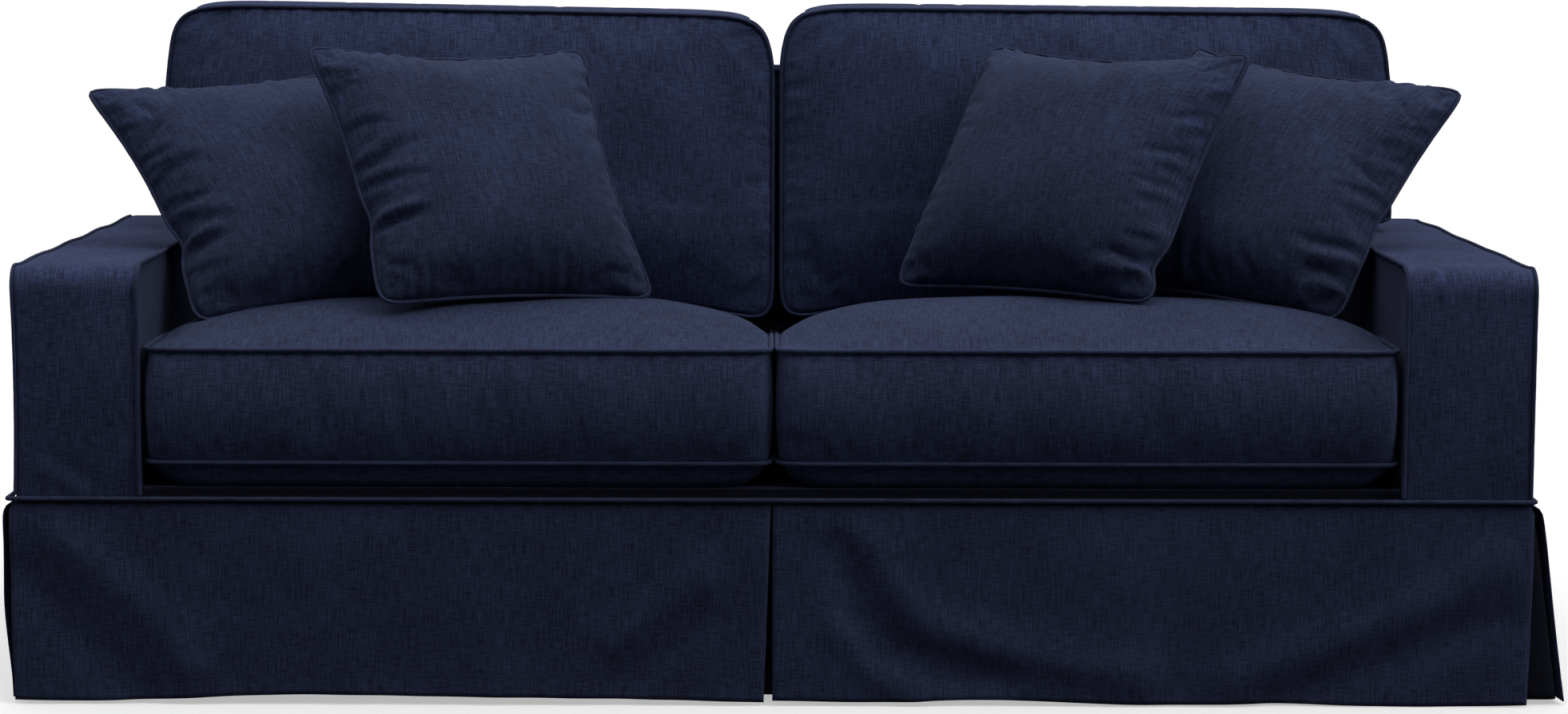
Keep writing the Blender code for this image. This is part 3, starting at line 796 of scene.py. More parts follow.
class Workroom:
    """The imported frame, the finishes and the last steps that every piece goes through."""

    def __init__(self) -> None:
        """Loads the frame and makes every finish and node tree once."""
        self.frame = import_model()
        self.solid_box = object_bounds()
        cloths = (COVER_CLOTH, CUSHION_CLOTH, PILLOW_CLOTH, PIPING, THREAD)
        self.finishes = {cloth.name: cloth.make() for cloth in cloths}
        self.cord = cord_tree()
        self.stitch = stitch_tree()
        self.pieces = 0

    def keep(self, name: str, mesh: bpy.types.Mesh, cloth: Cloth) -> bpy.types.Object:
        """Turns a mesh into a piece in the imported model's frame.

        Args:
            name: The piece's name.
            mesh: Its mesh, counted from the floor.
            cloth: Its finish, where the mesh has none.

        Returns:
            The new object.
        """
        mesh.transform(Matrix.Translation(-FRAME_ORIGIN))
        if not mesh.materials:
            mesh.materials.append(self.finishes[cloth.name])
        return stand(name, mesh)

    def hand_over(self, piece: bpy.types.Object, cloth: Cloth, node: str | None) -> None:
        """Lets a finished piece ride with the root body, hides the solid that it stands for and counts it.

        Args:
            piece: The piece.
            cloth: Its finish; not used.
            node: The solid, or None for a detail that no solid has.
        """
        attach(piece, "root")
        if node:
            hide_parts(node)
        self.pieces += 1
        LOG.info("%s: %d faces", piece.name, len(piece.data.polygons))

    def along(self, name: str, route: Array, closed: bool, tree: bpy.types.NodeTree, values: dict[str, float],
              cloth: CordCloth) -> bpy.types.Object:
        """Runs a node tree along a route and keeps the result as a plain mesh.

        Args:
            name: The new piece's name.
            route: The points that it follows, counted from the floor.
            closed: Whether the route's last point meets its first.
            tree: The geometry node tree.
            values: The tree's inputs, by name.
            cloth: The finish that the tree sets.

        Returns:
            The finished piece.
        """
        curve = bpy.data.curves.new(name + "_route", "CURVE")
        curve.dimensions = "3D"
        spline = curve.splines.new("POLY")
        spline.points.add(len(route) - 1)
        spline.points.foreach_set("co", np.column_stack([route, np.ones(len(route))]).astype(np.float32).ravel())
        spline.use_cyclic_u = closed
        guide = stand(name + "_guide", curve)
        modifier = guide.modifiers.new("path", "NODES")
        modifier.node_group = tree
        sockets = {item.name: item.identifier for item in tree.interface.items_tree if item.in_out == "INPUT"}
        for key, value in {**values, "Material": self.finishes[cloth.name]}.items():
            modifier[sockets[key]] = value
        solved = guide.evaluated_get(bpy.context.evaluated_depsgraph_get())
        mesh = bpy.data.meshes.new_from_object(solved)
        mesh.name = name
        bpy.data.objects.remove(guide)
        bpy.data.curves.remove(curve)
        return self.keep(name, mesh, cloth)

    def piping(self, node: str, route: Array, closed: bool, radius: float = CORD_RADIUS) -> None:
        """Makes the piping of one seam.

        Args:
            node: The solid that it stands for.
            route: The cord's middle line.
            closed: Whether it runs all round.
            radius: The cord's radius.
        """
        values = {"Radius": radius, "Spacing": CORD_SPACING, "Gather depth": GATHER_SHARE * radius,
                  "Gather pitch": GATHER_PITCH}
        piece = self.along("cord_" + node, route, closed, self.cord, values, PIPING)
        self.hand_over(piece, PIPING, node)

    def sheet(self, node: str, shape: Shape, flat: tuple[float, float], held: Hold) -> None:
        """Makes one sheet of the cover from its outer surface.

        Args:
            node: The solid that it stands for.
            shape: The outer surface.
            flat: The width and length that it was cut to; not used.
            held: How it is held; not used.
        """
        piece = self.keep("cloth_" + node, shape.mesh(node), COVER_CLOTH)
        wall = piece.modifiers.new("cloth", "SOLIDIFY")
        wall.thickness = CLOTH_THICKNESS
        wall.offset = -1.0
        self.hand_over(piece, COVER_CLOTH, node)


# The fitted cover


@dataclass(frozen=True)
class CoverSizes:
    """The fitted cover's sizes, which its parts share."""

    cloth: float = CLOTH_THICKNESS
    seam_gap: float = 0.0005
    welt_reach: float = 0.0039
    outer_half: float = 1.065
    inner_half: float = 0.886
    depth: float = 0.920
    arm_top: float = 0.614
    arm_radius: float = 0.035
    deck_top: float = 0.302
    skirt_seam: float = 0.284
    hem: float = 0.004
    back_half: float = 0.930
    back_top: float = 0.860
    back_front: float = 0.778
    back_radius: float = 0.045

    @property
    def inset(self) -> float:
        """How far a panel's edge lies behind the strip that it is sewn to."""
        return self.cloth + self.seam_gap

    def steps(self, low: float, high: float, step: float = 0.009) -> Array:
        """Evenly spaced places from low to high."""
        return np.linspace(low, high, max(2, math.ceil((high - low) / step) + 1))


@dataclass(frozen=True)
class Arm:
    """One arm: the strip over its front and top, its two side panels and their piping."""

    side: Side
    sizes: CoverSizes
    creases: tuple[Crease, ...] = ()
    slack: float = 0.001
    drop: float = 0.0025
    crown: float = 0.0025
    welt_start: float = 0.009
    welt_radius: float = 0.0024
    # Painted shade for the inside panel
    shade: float = -2.9
    drawn_ends: float = 0.55
    drawn_middle: float = 0.45
    drawn_reach: float = 0.17
    seam_waver: Waver = Waver(0.0012, 0.24)
    strip_waver: Waver = Waver(0.0009, 0.16)
    panel_waver: Waver = Waver(0.0016, 0.17)
    panel_slack: float = 0.0010
    panel_share: float = 0.998
    net: float = 0.007
    welt_net: float = 0.006
    welt_step: float = 0.55

    def profile(self, length: Array) -> tuple[Array, Array]:
        """y and z of the strip at a length along it, from the skirt's seam up and back.

        Args:
            length: Lengths along the strip.

        Returns:
            y and z for each length.
        """
        size = self.sizes
        radius = size.arm_radius
        rise = size.arm_top - radius - (size.skirt_seam + size.seam_gap)
        bend = radius * math.pi / 2
        angle = np.clip((length - rise) / radius, 0.0, math.pi / 2)
        y = radius * (1.0 - np.cos(angle)) + np.maximum(0.0, length - rise - bend)
        z = size.arm_top - radius - rise + np.minimum(length, rise) + radius * np.sin(angle)
        return y, z

    def strip_length(self) -> float:
        """The strip's whole length.

        Returns:
            The length in metres.
        """
        size = self.sizes
        rise = size.arm_top - size.arm_radius - size.skirt_seam - size.seam_gap
        return rise + size.arm_radius * math.pi / 2 + size.depth - size.inset - size.arm_radius

    def inward(self, z: Array) -> Array:
        """How far the outer seam is drawn in at a height."""
        level = np.clip((z - self.drawn_middle) / self.drawn_reach, -1.0, 1.0)
        return self.slack * share(self.drawn_ends, 1.0, dome(level, 2.0, 1.0))

    def down(self, y: Array) -> Array:
        """How far the outer seam sags below the arm's top at a depth."""
        sag = self.drop + self.seam_waver.at(np.atleast_1d(y)[:, None], 17 + self.side.value)
        return sag * smooth_step(0.0, 0.07, y)

    def top_at(self, y: Array) -> Array:
        """Height of the side panels' upper edge at a depth.

        Args:
            y: Depths.

        Returns:
            One height for each depth.
        """
        size = self.sizes
        radius = size.arm_radius - size.inset
        back = np.clip(size.arm_radius - y, 0.0, radius)
        return size.arm_top - size.arm_radius + np.sqrt(np.maximum(0.0, radius**2 - back**2))

    def build_strip(self, room: Workroom) -> None:
        """The strip over the arm's front and top.

        Args:
            room: The workroom.
        """
        size = self.sizes
        low, high = sorted((self.side.value * size.inner_half, self.side.value * size.outer_half))
        length = self.strip_length()

        def place(x: Array, along: Array) -> Array:
            """The outer surface at a place of the flat strip."""
            y, z = self.profile(along)
            outer = ((x * self.side.value - size.inner_half) / (size.outer_half - size.inner_half)) ** 3
            return np.stack([x - self.side.value * self.inward(z) * outer, y, z - self.down(y) * outer], axis=1)

        cuts = size.steps(low, high, self.net), size.steps(0.0, length, self.net)
        shape = grid(*cuts, place)
        x, along = (part.ravel() for part in np.meshgrid(*cuts))
        middle = (x - (low + high) / 2) / ((high - low) / 2)
        lift = self.crown * dome(middle, 3.0, 1.0) * smooth_step(0.0, 0.15, along)
        waves = self.strip_waver.at(np.stack([x, along * 0.6], axis=1), 11 + self.side.value)
        lift += waves * dome(middle, 6.0, 1.0)
        lift += relief(self.creases, x * self.side.value, along)
        shape.push(lift)
        room.sheet(f"arm_strip_{self.side.label}", shape, (high - low, length), Hold.STRETCHED)

    def build_panel(self, room: Workroom, name: str, x: float, rear: float, foot: float, outward: int) -> None:
        """One of the arm's two side panels.

        Args:
            room: The workroom.
            name: The node's name without its side.
            x: The panel's outer surface.
            rear: The y of its rear edge.
            foot: The height of its lower edge.
            outward: 1 where the panel faces right, -1 where it faces left.
        """
        size = self.sizes
        front, rise = size.inset, size.arm_top - size.inset - foot
        outer = float(outward == self.side.value)

        def place(along: Array, up: Array) -> Array:
            """The outer surface at a place of the flat panel."""
            y = along * outward
            z = share(foot, self.top_at(y) - outer * self.down(y), up / rise)
            return np.stack([x - outward * outer * self.inward(z), y, z], axis=1)

        across = size.steps(*sorted((front * outward, rear * outward)), 0.012)
        shape = grid(across, size.steps(0.0, rise, 0.010), place)
        sway = self.panel_waver.at(shape.points[:, 1:] * np.array([1.0, 0.45]), 23 + outward) - self.panel_slack
        shape.push(sway * shape.inner())
        # Painted shade: the inside panel is darker, standing in for the shade beside the cushions and pillows
        if not outer:
            shape.shaded(self.shade)
        room.sheet(name, shape, (rear - front, rise), Hold.STRETCHED)

    def build_piping(self, room: Workroom) -> None:
        """The piping along the strip's two edges.

        Args:
            room: The workroom.
        """
        size = self.sizes
        across = np.array([1.0, 0.0, 0.0])
        step = self.welt_step * (size.welt_reach / math.sqrt(2.0))
        end = self.strip_length()
        hidden = size.depth - size.back_front - size.inset + self.welt_start
        y, z = self.profile(size.steps(self.welt_start, end - hidden, self.welt_net))
        route = np.stack([np.full_like(y, self.side.value * size.inner_half), y, z], axis=1)
        route = beside(route, across, -size.welt_reach, 0.0, False)
        room.piping(f"arm_welt_inner_{self.side.label}", route, False)
        y, z = self.profile(size.steps(self.welt_start, end, self.welt_net))
        route = np.stack([self.side.value * (size.outer_half - self.inward(z)), y, z - self.down(y)], axis=1)
        route = beside(route, across, -step, self.side.value * step, False)
        room.piping(f"arm_welt_outer_{self.side.label}", route, False, self.welt_radius)

    def build(self, room: Workroom) -> None:
        """Makes the whole arm.

        Args:
            room: The workroom.
        """
        size, sign, label = self.sizes, self.side.value, self.side.label
        foot = size.skirt_seam + size.seam_gap
        self.build_strip(room)
        self.build_panel(room, f"outside_arm_{label}", sign * size.outer_half, size.depth - size.inset, foot, sign)
        self.build_panel(room, f"inside_arm_{label}", sign * size.inner_half, size.back_front - size.inset,
                         size.deck_top + size.seam_gap, -sign)
        self.build_piping(room)


@dataclass(frozen=True)
class Back:
    """The back: the strip over its top and sides, its two faces and their piping."""

    sizes: CoverSizes
    strip_crown: float = 0.0016
    strip_waver: Waver = Waver(0.0010, 0.20)
    face_waver: Waver = Waver(0.0018, 0.24)
    face_slack: float = 0.0010
    welt_start: float = 0.007

    def outline(self, half: float, top: float, radius: float, foot: float) -> Array:
        """x and z from the left foot over the top to the right foot.

        Args:
            half: Half its width.
            top: The height of its top.
            radius: The radius of its upper corners.
            foot: The height of its feet.

        Returns:
            The points, one a row.
        """
        angles = np.linspace(0.0, math.pi / 2, 9)
        left = np.stack([-(half - radius) - radius * np.cos(angles), top - radius + radius * np.sin(angles)], axis=1)
        rise = np.stack([np.full(24, -half), np.linspace(foot, top - radius, 25)[:-1]], axis=1)
        level = np.linspace(-(half - radius), half - radius, 160)[1:-1]
        over = np.stack([level, np.full(158, top)], axis=1)
        right = left[::-1] * np.array([-1.0, 1.0])
        fall = rise[::-1] * np.array([-1.0, 1.0])
        return np.concatenate([rise, left, over, right, fall])

    def half_at(self, z: Array, half: float) -> Array:
        """Half the width of the back's faces at a height, with the round upper corners.

        Args:
            z: Heights.
            half: Half the width below the corners.

        Returns:
            Half the width at each height.
        """
        size = self.sizes
        radius = size.back_radius - size.inset
        up = np.clip(z - (size.back_top - size.back_radius), 0.0, radius)
        return half - radius + np.sqrt(np.maximum(0.0, radius**2 - up**2))

    def build_strip(self, room: Workroom) -> None:
        """The strip over the back's top and down its sides.

        Args:
            room: The workroom.
        """
        size = self.sizes
        route = self.outline(size.back_half, size.back_top, size.back_radius, size.arm_top + size.seam_gap)
        run = lengths(route)

        def place(along: Array, y: Array) -> Array:
            """The outer surface at a place of the flat strip."""
            return np.stack([np.interp(along, run, route[:, 0]), y, np.interp(along, run, route[:, 1])], axis=1)

        shape = grid(run, size.steps(size.back_front, size.depth, 0.010), place)
        shape.push((self.strip_crown + self.strip_waver.at(shape.points, 31)) * shape.inner())
        room.sheet("back_strip", shape, (float(run[-1]), size.depth - size.back_front), Hold.STRETCHED)

    def build_face(self, room: Workroom, node: str, y: float, step: float, lower: float, foot: float,
                   outward: int) -> None:
        """One of the back's two faces, which change width where the arms meet them.

        Args:
            room: The workroom.
            node: The solid that it stands for.
            y: The outer surface's depth.
            step: The height at which the width changes.
            lower: Half the width below that height.
            foot: The height of the lower edge.
            outward: -1 where the face looks to the front, 1 where it looks to the back.
        """
        size = self.sizes
        upper = size.back_half - size.inset
        top = size.back_top - size.inset
        rows = np.concatenate([size.steps(foot, step - size.seam_gap, 0.012), size.steps(step, top - 0.0004, 0.008)])

        def place(across: Array, z: Array) -> Array:
            """The outer surface at a share of the half width and a height."""
            half = np.where(z < step, lower, self.half_at(z, upper))
            return np.stack([-across * outward * half, np.full_like(z, y), z], axis=1)

        shape = grid(np.linspace(-1.0, 1.0, 141), rows, place)
        shape.flat = shape.flat * np.array([lower, 1.0])
        rim = np.minimum.reduce([shape.points[:, 2] - foot, top - shape.points[:, 2],
                                 np.where(shape.points[:, 2] < step, lower, upper) - np.abs(shape.points[:, 0])])
        shape.seam = np.exp(-np.maximum(rim, 0.0) / SEAM_REACH)
        sway = self.face_waver.at(shape.points[:, [0, 2]] * np.array([1.0, 0.4]), 41 + outward) - self.face_slack
        shape.push(sway * shape.inner())
        widest = 2.0 * max(lower, upper)
        room.sheet(node, shape, (widest, top - foot), Hold.STRETCHED)

    def build_piping(self, room: Workroom) -> None:
        """The piping round both faces.

        Args:
            room: The workroom.
        """
        size = self.sizes
        route = self.outline(size.back_half, size.back_top, size.back_radius, size.arm_top + self.welt_start)
        diagonal = size.welt_reach / math.sqrt(2.0)
        for label, y, out in (("front", size.back_front, -1.0), ("rear", size.depth, 1.0)):
            seam = np.stack([route[:, 0], np.full(len(route), y), route[:, 1]], axis=1)
            moved = beside(seam, np.array([0.0, 1.0, 0.0]), diagonal, out * diagonal, False)
            room.piping(f"back_welt_{label}", moved, False)

    def build(self, room: Workroom) -> None:
        """Makes the whole back.

        Args:
            room: The workroom.
        """
        size = self.sizes
        self.build_strip(room)
        self.build_face(room, "inside_back", size.back_front, size.arm_top + size.inset,
                        size.inner_half - size.seam_gap, size.deck_top + size.seam_gap, -1)
        self.build_face(room, "outside_back", size.depth, size.arm_top, size.outer_half,
                        size.skirt_seam + size.seam_gap, 1)
        self.build_piping(room)


@dataclass(frozen=True)
class SeatCloth:
    """The deck under the seat cushions and the narrow band at its front."""

    sizes: CoverSizes
    band_back: float = 0.012
    band_ends: float = 0.020
    # Painted shade for the front band
    shade: float = -4.1
    deck_waver: Waver = Waver(0.0006, 0.25)
    deck_slack: float = 0.0014
    band_waver: Waver = Waver(0.0005, 0.09)

    def build(self, room: Workroom) -> None:
        """Makes both pieces.

        Args:
            room: The workroom.
        """
        size = self.sizes
        half = size.inner_half - size.seam_gap
        front, rear = self.band_back + size.inset, size.back_front - size.seam_gap
        foot = size.skirt_seam + size.seam_gap

        def forward(x: Array) -> Array:
            """How far the band comes forward beside the arms."""
            return self.band_back * (1.0 - np.clip((half - np.abs(x)) / self.band_ends, 0.0, 1.0))

        def deck(x: Array, y: Array) -> Array:
            """The deck's surface."""
            return np.stack([x, y - forward(x) * (rear - y) / (rear - front), np.full_like(x, size.deck_top)], axis=1)

        def band(x: Array, z: Array) -> Array:
            """The band's surface, which turns back to the seam at its foot."""
            return np.stack([x, (self.band_back - forward(x)) * smooth_step(foot, foot + 0.004, z), z], axis=1)

        shape = grid(size.steps(-half, half, 0.02), size.steps(front, rear, 0.02), deck)
        shape.push(shape.inner() * (self.deck_waver.at(shape.points[:, :2], 51) - self.deck_slack))
        room.sheet("deck", shape, (2 * half, rear - front), Hold.LAID)
        shape = grid(size.steps(-half, half, 0.008), size.steps(foot, size.deck_top, 0.004), band)
        sag = self.band_waver.at(shape.points[:, [0, 2]] * np.array([1.0, 0.3]), 53)
        shape.push(sag * smooth_step(0.0, 0.006, shape.points[:, 2] - foot))
        # Painted shade: the band is darker, standing in for the shade under the seat cushions' front
        shape.shaded(self.shade)
        room.sheet("front_band", shape, (2 * half, size.deck_top - foot + self.band_back), Hold.STRETCHED)


# The skirt


@dataclass(frozen=True)
class SkirtPanel:
    """One hanging panel of the skirt, hemmed at the floor."""

    node: str
    first: tuple[float, float]
    last: tuple[float, float]
    puff: float
    flare_first: float
    flare_last: float
    parting: float
    folds: tuple[Fold, ...]
    lifts: tuple[tuple[float, float, float], ...]
    seed: int
    sizes: CoverSizes
    puff_share: float = 0.10
    folds_full_at: float = 0.25
    hem_stitch: float = 0.030
    spread: Span = (0.0, 0.0)
    tuck: float = 0.0
    reach_down: float = 0.0042
    # Painted light: the least seam value over the whole panel, which makes it lighter
    painted_light: float = 0.0
    waver: Waver = Waver(0.0011, 0.11)
    hem_waver: Waver = Waver(0.0012, 0.35)
    furthest_in: float = 0.003
    tuck_from: Span = (0.45, 0.3)
    spread_power: int = 12
    thread_net: float = 0.006

    def top(self) -> float:
        """Height of the panel's upper edge."""
        return self.sizes.skirt_seam - self.sizes.seam_gap

    def surface(self, along: Array, height: Array) -> Array:
        """The outer surface at a length along the seam and a height of the flat panel.

        Args:
            along: Lengths along the seam.
            height: Heights of the flat panel.

        Returns:
            One point for each place, counted from the floor.
        """
        start = np.array([*self.first, 0.0])
        run = np.array([*self.last, 0.0]) - start
        length = float(np.linalg.norm(run))
        outward = np.array([run[1], -run[0], 0.0]) / length
        s = along / length
        fall = (self.top() - height) / (self.top() - self.sizes.hem)
        place = start + run * s[:, None]
        axis = 0 if abs(run[0]) > abs(run[1]) else 1
        push = self.puff * (1.0 - np.exp(-fall / self.puff_share)) + share(self.flare_first, self.flare_last, s) * fall
        push = push - self.tuck * smooth_step(self.tuck_from[0], 1.0, fall) * smooth_step(self.tuck_from[1], 1.0, s)
        bent = relief(self.folds, place[:, axis], height)
        bent += self.waver.at(np.stack([place[:, axis], height * 0.35], axis=1), self.seed)
        push = push + bent * smooth_step(0.0, self.folds_full_at, fall)
        place = place + outward * np.maximum(push, -self.furthest_in * fall)[:, None]
        place[:, 0] += self.parting * fall * s
        ends = self.spread[1] * s**self.spread_power - self.spread[0] * (1.0 - s) ** self.spread_power
        place = place + run / length * (ends * smooth_step(0.0, 0.05, fall) * (1.0 - fall * fall))[:, None]
        lift = sum(rise * np.exp(-(((place[:, axis] - middle) / reach) ** 2)) for middle, rise, reach in self.lifts)
        uneven = self.hem_waver.depth * (1.0 + ripple(place[:, [axis]], self.hem_waver.wave, self.seed + 1))
        place[:, 2] = height + fall * (lift - self.reach_down + uneven)
        return place

    def build(self, room: Workroom) -> None:
        """Makes the panel and the stitches of its hem.

        Args:
            room: The workroom.
        """
        length = math.dist(self.first, self.last)
        across = self.sizes.steps(0.0, length, 0.0085)
        up = self.sizes.steps(self.sizes.hem, self.top(), 0.0070)
        shape = grid(across, up, self.surface)
        hem = self.sizes.hem + self.hem_stitch
        shape.push(-0.0005 * np.exp(-(((shape.points[:, 2] - hem) / 0.003) ** 2)))
        # Painted light: a raised seam value makes the panel lighter, as if more light fell on it
        shape.seam = np.maximum(shape.seam, self.painted_light)
        row = np.linspace(self.thread_net, length - self.thread_net, int(length / self.thread_net))
        route = self.surface(row, np.full_like(row, hem))
        thread = room.along("stitches_" + self.node, route, False, room.stitch, STITCHES, THREAD)
        room.hand_over(thread, THREAD, None)
        room.sheet(self.node, shape, (length, self.top() - self.sizes.hem), Hold.HUNG)


@dataclass(frozen=True)
class Skirt:
    """The five hanging panels, the cloth behind their open pleats and the piping of their seam."""

    sizes: CoverSizes
    pleat_half: float = 0.095
    pleat_depth: float = 0.020
    # Painted shade for the cloth behind the middle pleat and behind the corner pleats
    shade: float = -3.2
    corner_shade: float = -4.2
    setback: float = 0.0055
    corner_leg: float = 0.090
    corner_radius: float = 0.010
    welt_rise: float = 0.0035
    welt_side: float = 0.0035
    flare_at_once: float = 0.25
    flare_share: float = 0.05
    front_folds: tuple[Fold, ...] = (
        Fold(0.0075, 0.032, ((-1.018, 0.264), (-0.940, 0.185), (-0.872, 0.125), (-0.816, 0.047))),
        Fold(-0.0075, 0.036, ((-1.046, 0.181), (-0.990, 0.110), (-0.894, 0.015))),
        Fold(0.0056, 0.026, ((-0.102, 0.178), (-0.173, 0.123), (-0.215, 0.086))),
        Fold(-0.0056, 0.028, ((-0.097, 0.120), (-0.142, 0.075), (-0.198, 0.031))),
        Fold(0.0037, 0.070, ((-0.640, 0.200), (-0.480, 0.150))),
        Fold(0.0079, 0.028, ((0.111, 0.268), (0.162, 0.181), (0.218, 0.114), (0.308, 0.083), (0.420, 0.058),
                             (0.521, 0.042))),
        Fold(-0.0079, 0.028, ((0.092, 0.224), (0.122, 0.131), (0.162, 0.081), (0.240, 0.047), (0.319, 0.031))),
        Fold(0.0056, 0.022, ((0.094, 0.103), (0.139, 0.047), (0.200, 0.008))),
        Fold(0.0075, 0.030, ((0.650, 0.040), (0.774, 0.086), (0.870, 0.125), (0.960, 0.164), (1.016, 0.203))),
        Fold(-0.0075, 0.030, ((0.712, 0.003), (0.825, 0.047), (0.937, 0.092), (1.027, 0.125))),
        Fold(0.0034, 0.060, ((0.480, 0.190), (0.640, 0.170))),
    )
    side_folds: tuple[Fold, ...] = (
        Fold(-0.0067, 0.045, ((0.220, 0.250), (0.250, 0.130), (0.310, 0.010))),
        Fold(0.0060, 0.045, ((0.300, 0.260), (0.350, 0.130), (0.420, 0.020))),
        Fold(0.0067, 0.050, ((0.640, 0.240), (0.600, 0.120), (0.520, 0.010))),
        Fold(-0.0060, 0.045, ((0.740, 0.240), (0.700, 0.120), (0.630, 0.010))),
    )
    back_folds: tuple[Fold, ...] = (
        Fold(-0.0067, 0.050, ((-0.720, 0.250), (-0.660, 0.130), (-0.560, 0.010))),
        Fold(0.0060, 0.050, ((-0.600, 0.260), (-0.550, 0.140), (-0.440, 0.020))),
        Fold(0.0060, 0.060, ((-0.080, 0.230), (-0.130, 0.120), (-0.210, 0.010))),
        Fold(-0.0067, 0.050, ((0.520, 0.250), (0.560, 0.120), (0.640, 0.010))),
        Fold(0.0060, 0.050, ((0.640, 0.250), (0.690, 0.120), (0.780, 0.010))),
    )
    front_lifts: tuple[tuple[float, float, float], ...] = (
        (-0.540, 0.0095, 0.330),
        (0.240, 0.0040, 0.160),
        (0.880, -0.0030, 0.330),
    )
    plain_lifts: tuple[tuple[float, float, float], ...] = ((0.400, 0.0040, 0.300),)
    corners: tuple[tuple[str, int, int, float], ...] = (
        ("front_left", -1, -1, 0.006),
        ("front_right", 1, -1, 0.052),
        ("back_right", 1, 1, 0.022),
        ("back_left", -1, 1, 0.020),
    )

    def panels(self) -> list[SkirtPanel]:
        """The five panels, each from its left to its right end as seen from outside.

        Returns:
            The panels.
        """
        half, deep = self.sizes.outer_half, self.sizes.depth
        front = {"folds": self.front_folds, "lifts": self.front_lifts, "sizes": self.sizes}
        side = {"folds": self.side_folds, "lifts": self.plain_lifts, "sizes": self.sizes}
        back = {"folds": self.back_folds, "lifts": self.plain_lifts, "sizes": self.sizes}
        return [
            SkirtPanel("skirt_front_left", (-half, 0.0), (-0.0010, 0.0), puff=0.003, flare_first=0.011,
                       flare_last=0.013, parting=-0.0095, seed=61, spread=(0.0055, 0.0), **front),
            # Painted light: the right front panel is lighter, standing in for the key light from the right
            SkirtPanel("skirt_front_right", (0.0015, 0.0), (half, 0.0), puff=0.003, flare_first=0.013,
                       flare_last=0.008, parting=0.0, seed=62, spread=(0.0, 0.0060), painted_light=0.75, **front),
            SkirtPanel("skirt_side_right", (half, 0.006), (half, 0.914), puff=0.018, flare_first=0.038,
                       flare_last=0.004, parting=0.0, seed=63, puff_share=0.018, **side),
            SkirtPanel("skirt_back", (half, deep), (-half, deep), puff=0.004, flare_first=0.012,
                       flare_last=0.012, parting=0.0, seed=64, **back),
            SkirtPanel("skirt_side_left", (-half, 0.914), (-half, 0.006), puff=0.017, flare_first=0.004,
                       flare_last=0.000, parting=0.0, seed=65, puff_share=0.025, tuck=0.011, **side),
        ]

    def build_centre(self, room: Workroom) -> None:
        """The cloth behind the pleat in the middle of the front.

        Args:
            room: The workroom.
        """
        size = self.sizes
        top = size.skirt_seam - size.seam_gap

        def place(x: Array, z: Array) -> Array:
            """The surface, which falls back most in the middle of the hem."""
            fall = (top - z) / (top - size.hem)
            back = self.pleat_depth * fall * dome(x / self.pleat_half, 2.0, 1.0)
            return np.stack([x, self.setback + back, z], axis=1)

        shape = grid(size.steps(-self.pleat_half, self.pleat_half, 0.01), size.steps(size.hem, top, 0.01), place)
        # Painted shade: the cloth behind the pleat is darker, standing in for the shade inside it
        shape.shaded(self.shade)
        room.sheet("pleat_centre", shape, (2 * self.pleat_half, top - size.hem), Hold.HUNG)

    def build_corner(self, room: Workroom, label: str, out_x: int, out_y: int, flare: float) -> None:
        """The cloth behind the open pleat at one corner.

        Args:
            room: The workroom.
            label: The corner's name.
            out_x: The way out along x.
            out_y: The way out along y.
            flare: How far it stands out with the side panel at the hem.
        """
        size = self.sizes
        top = size.skirt_seam - size.seam_gap
        y = 0.0 if out_y < 0 else size.depth
        corner = np.array([out_x * size.outer_half - out_x * self.setback, y - out_y * self.setback])
        middle = corner - np.array([out_x, out_y]) * self.corner_radius
        turn = np.linspace(0.0, math.pi / 2, 6)
        arc = middle + self.corner_radius * np.stack([out_x * np.sin(turn), out_y * np.cos(turn)], axis=1)
        first = np.linspace(corner[0] - out_x * self.corner_leg, middle[0], 9)[:-1]
        last = np.linspace(middle[1], corner[1] - out_y * self.corner_leg, 9)[1:]
        route = np.concatenate([np.stack([first, np.full(8, corner[1])], axis=1), arc,
                                np.stack([np.full(8, corner[0]), last], axis=1)])
        if out_x * out_y > 0:
            route = route[::-1]
        run = lengths(route)

        def place(along: Array, z: Array) -> Array:
            """The surface, which flares out with the side panel."""
            across, deep = np.interp(along, run, route[:, 0]), np.interp(along, run, route[:, 1])
            fall = (top - z) / (top - size.hem)
            out = smooth_step(0.5, 1.0, 1.0 - np.abs(across - corner[0]) / self.corner_leg)
            push = self.flare_at_once * (1.0 - np.exp(-fall / self.flare_share)) + (1.0 - self.flare_at_once) * fall
            return np.stack([across + out_x * out * (flare * push), deep, z], axis=1)

        shape = grid(run, size.steps(size.hem, top, 0.01), place)
        # Painted shade: the cloth behind the corner pleat is darker, standing in for the shade inside it
        shape.shaded(self.corner_shade)
        room.sheet(f"pleat_corner_{label}", shape, (float(run[-1]), top - size.hem), Hold.HUNG)

    def build_piping(self, room: Workroom) -> None:
        """The piping of the skirt's seam, all round the cover.

        Args:
            room: The workroom.
        """
        size = self.sizes
        half, reach, level = size.outer_half + self.welt_side, size.welt_reach, size.skirt_seam + self.welt_rise
        route = []
        for quarter, (x, y) in enumerate(((-half, 0.0), (half, 0.0), (half, size.depth), (-half, size.depth))):
            for angle in math.pi + math.pi / 2 * (quarter + np.linspace(0.0, 1.0, 6)):
                route.append((x + reach * math.cos(angle), y + reach * math.sin(angle), level))
        room.piping("skirt_welt", np.array(route), True)

    def build(self, room: Workroom) -> None:
        """Makes the whole skirt.

        Args:
            room: The workroom.
        """
        for panel in self.panels():
            panel.build(room)
        self.build_centre(room)
        for corner in self.corners:
            self.build_corner(room, *corner)
        self.build_piping(room)


# The cushions


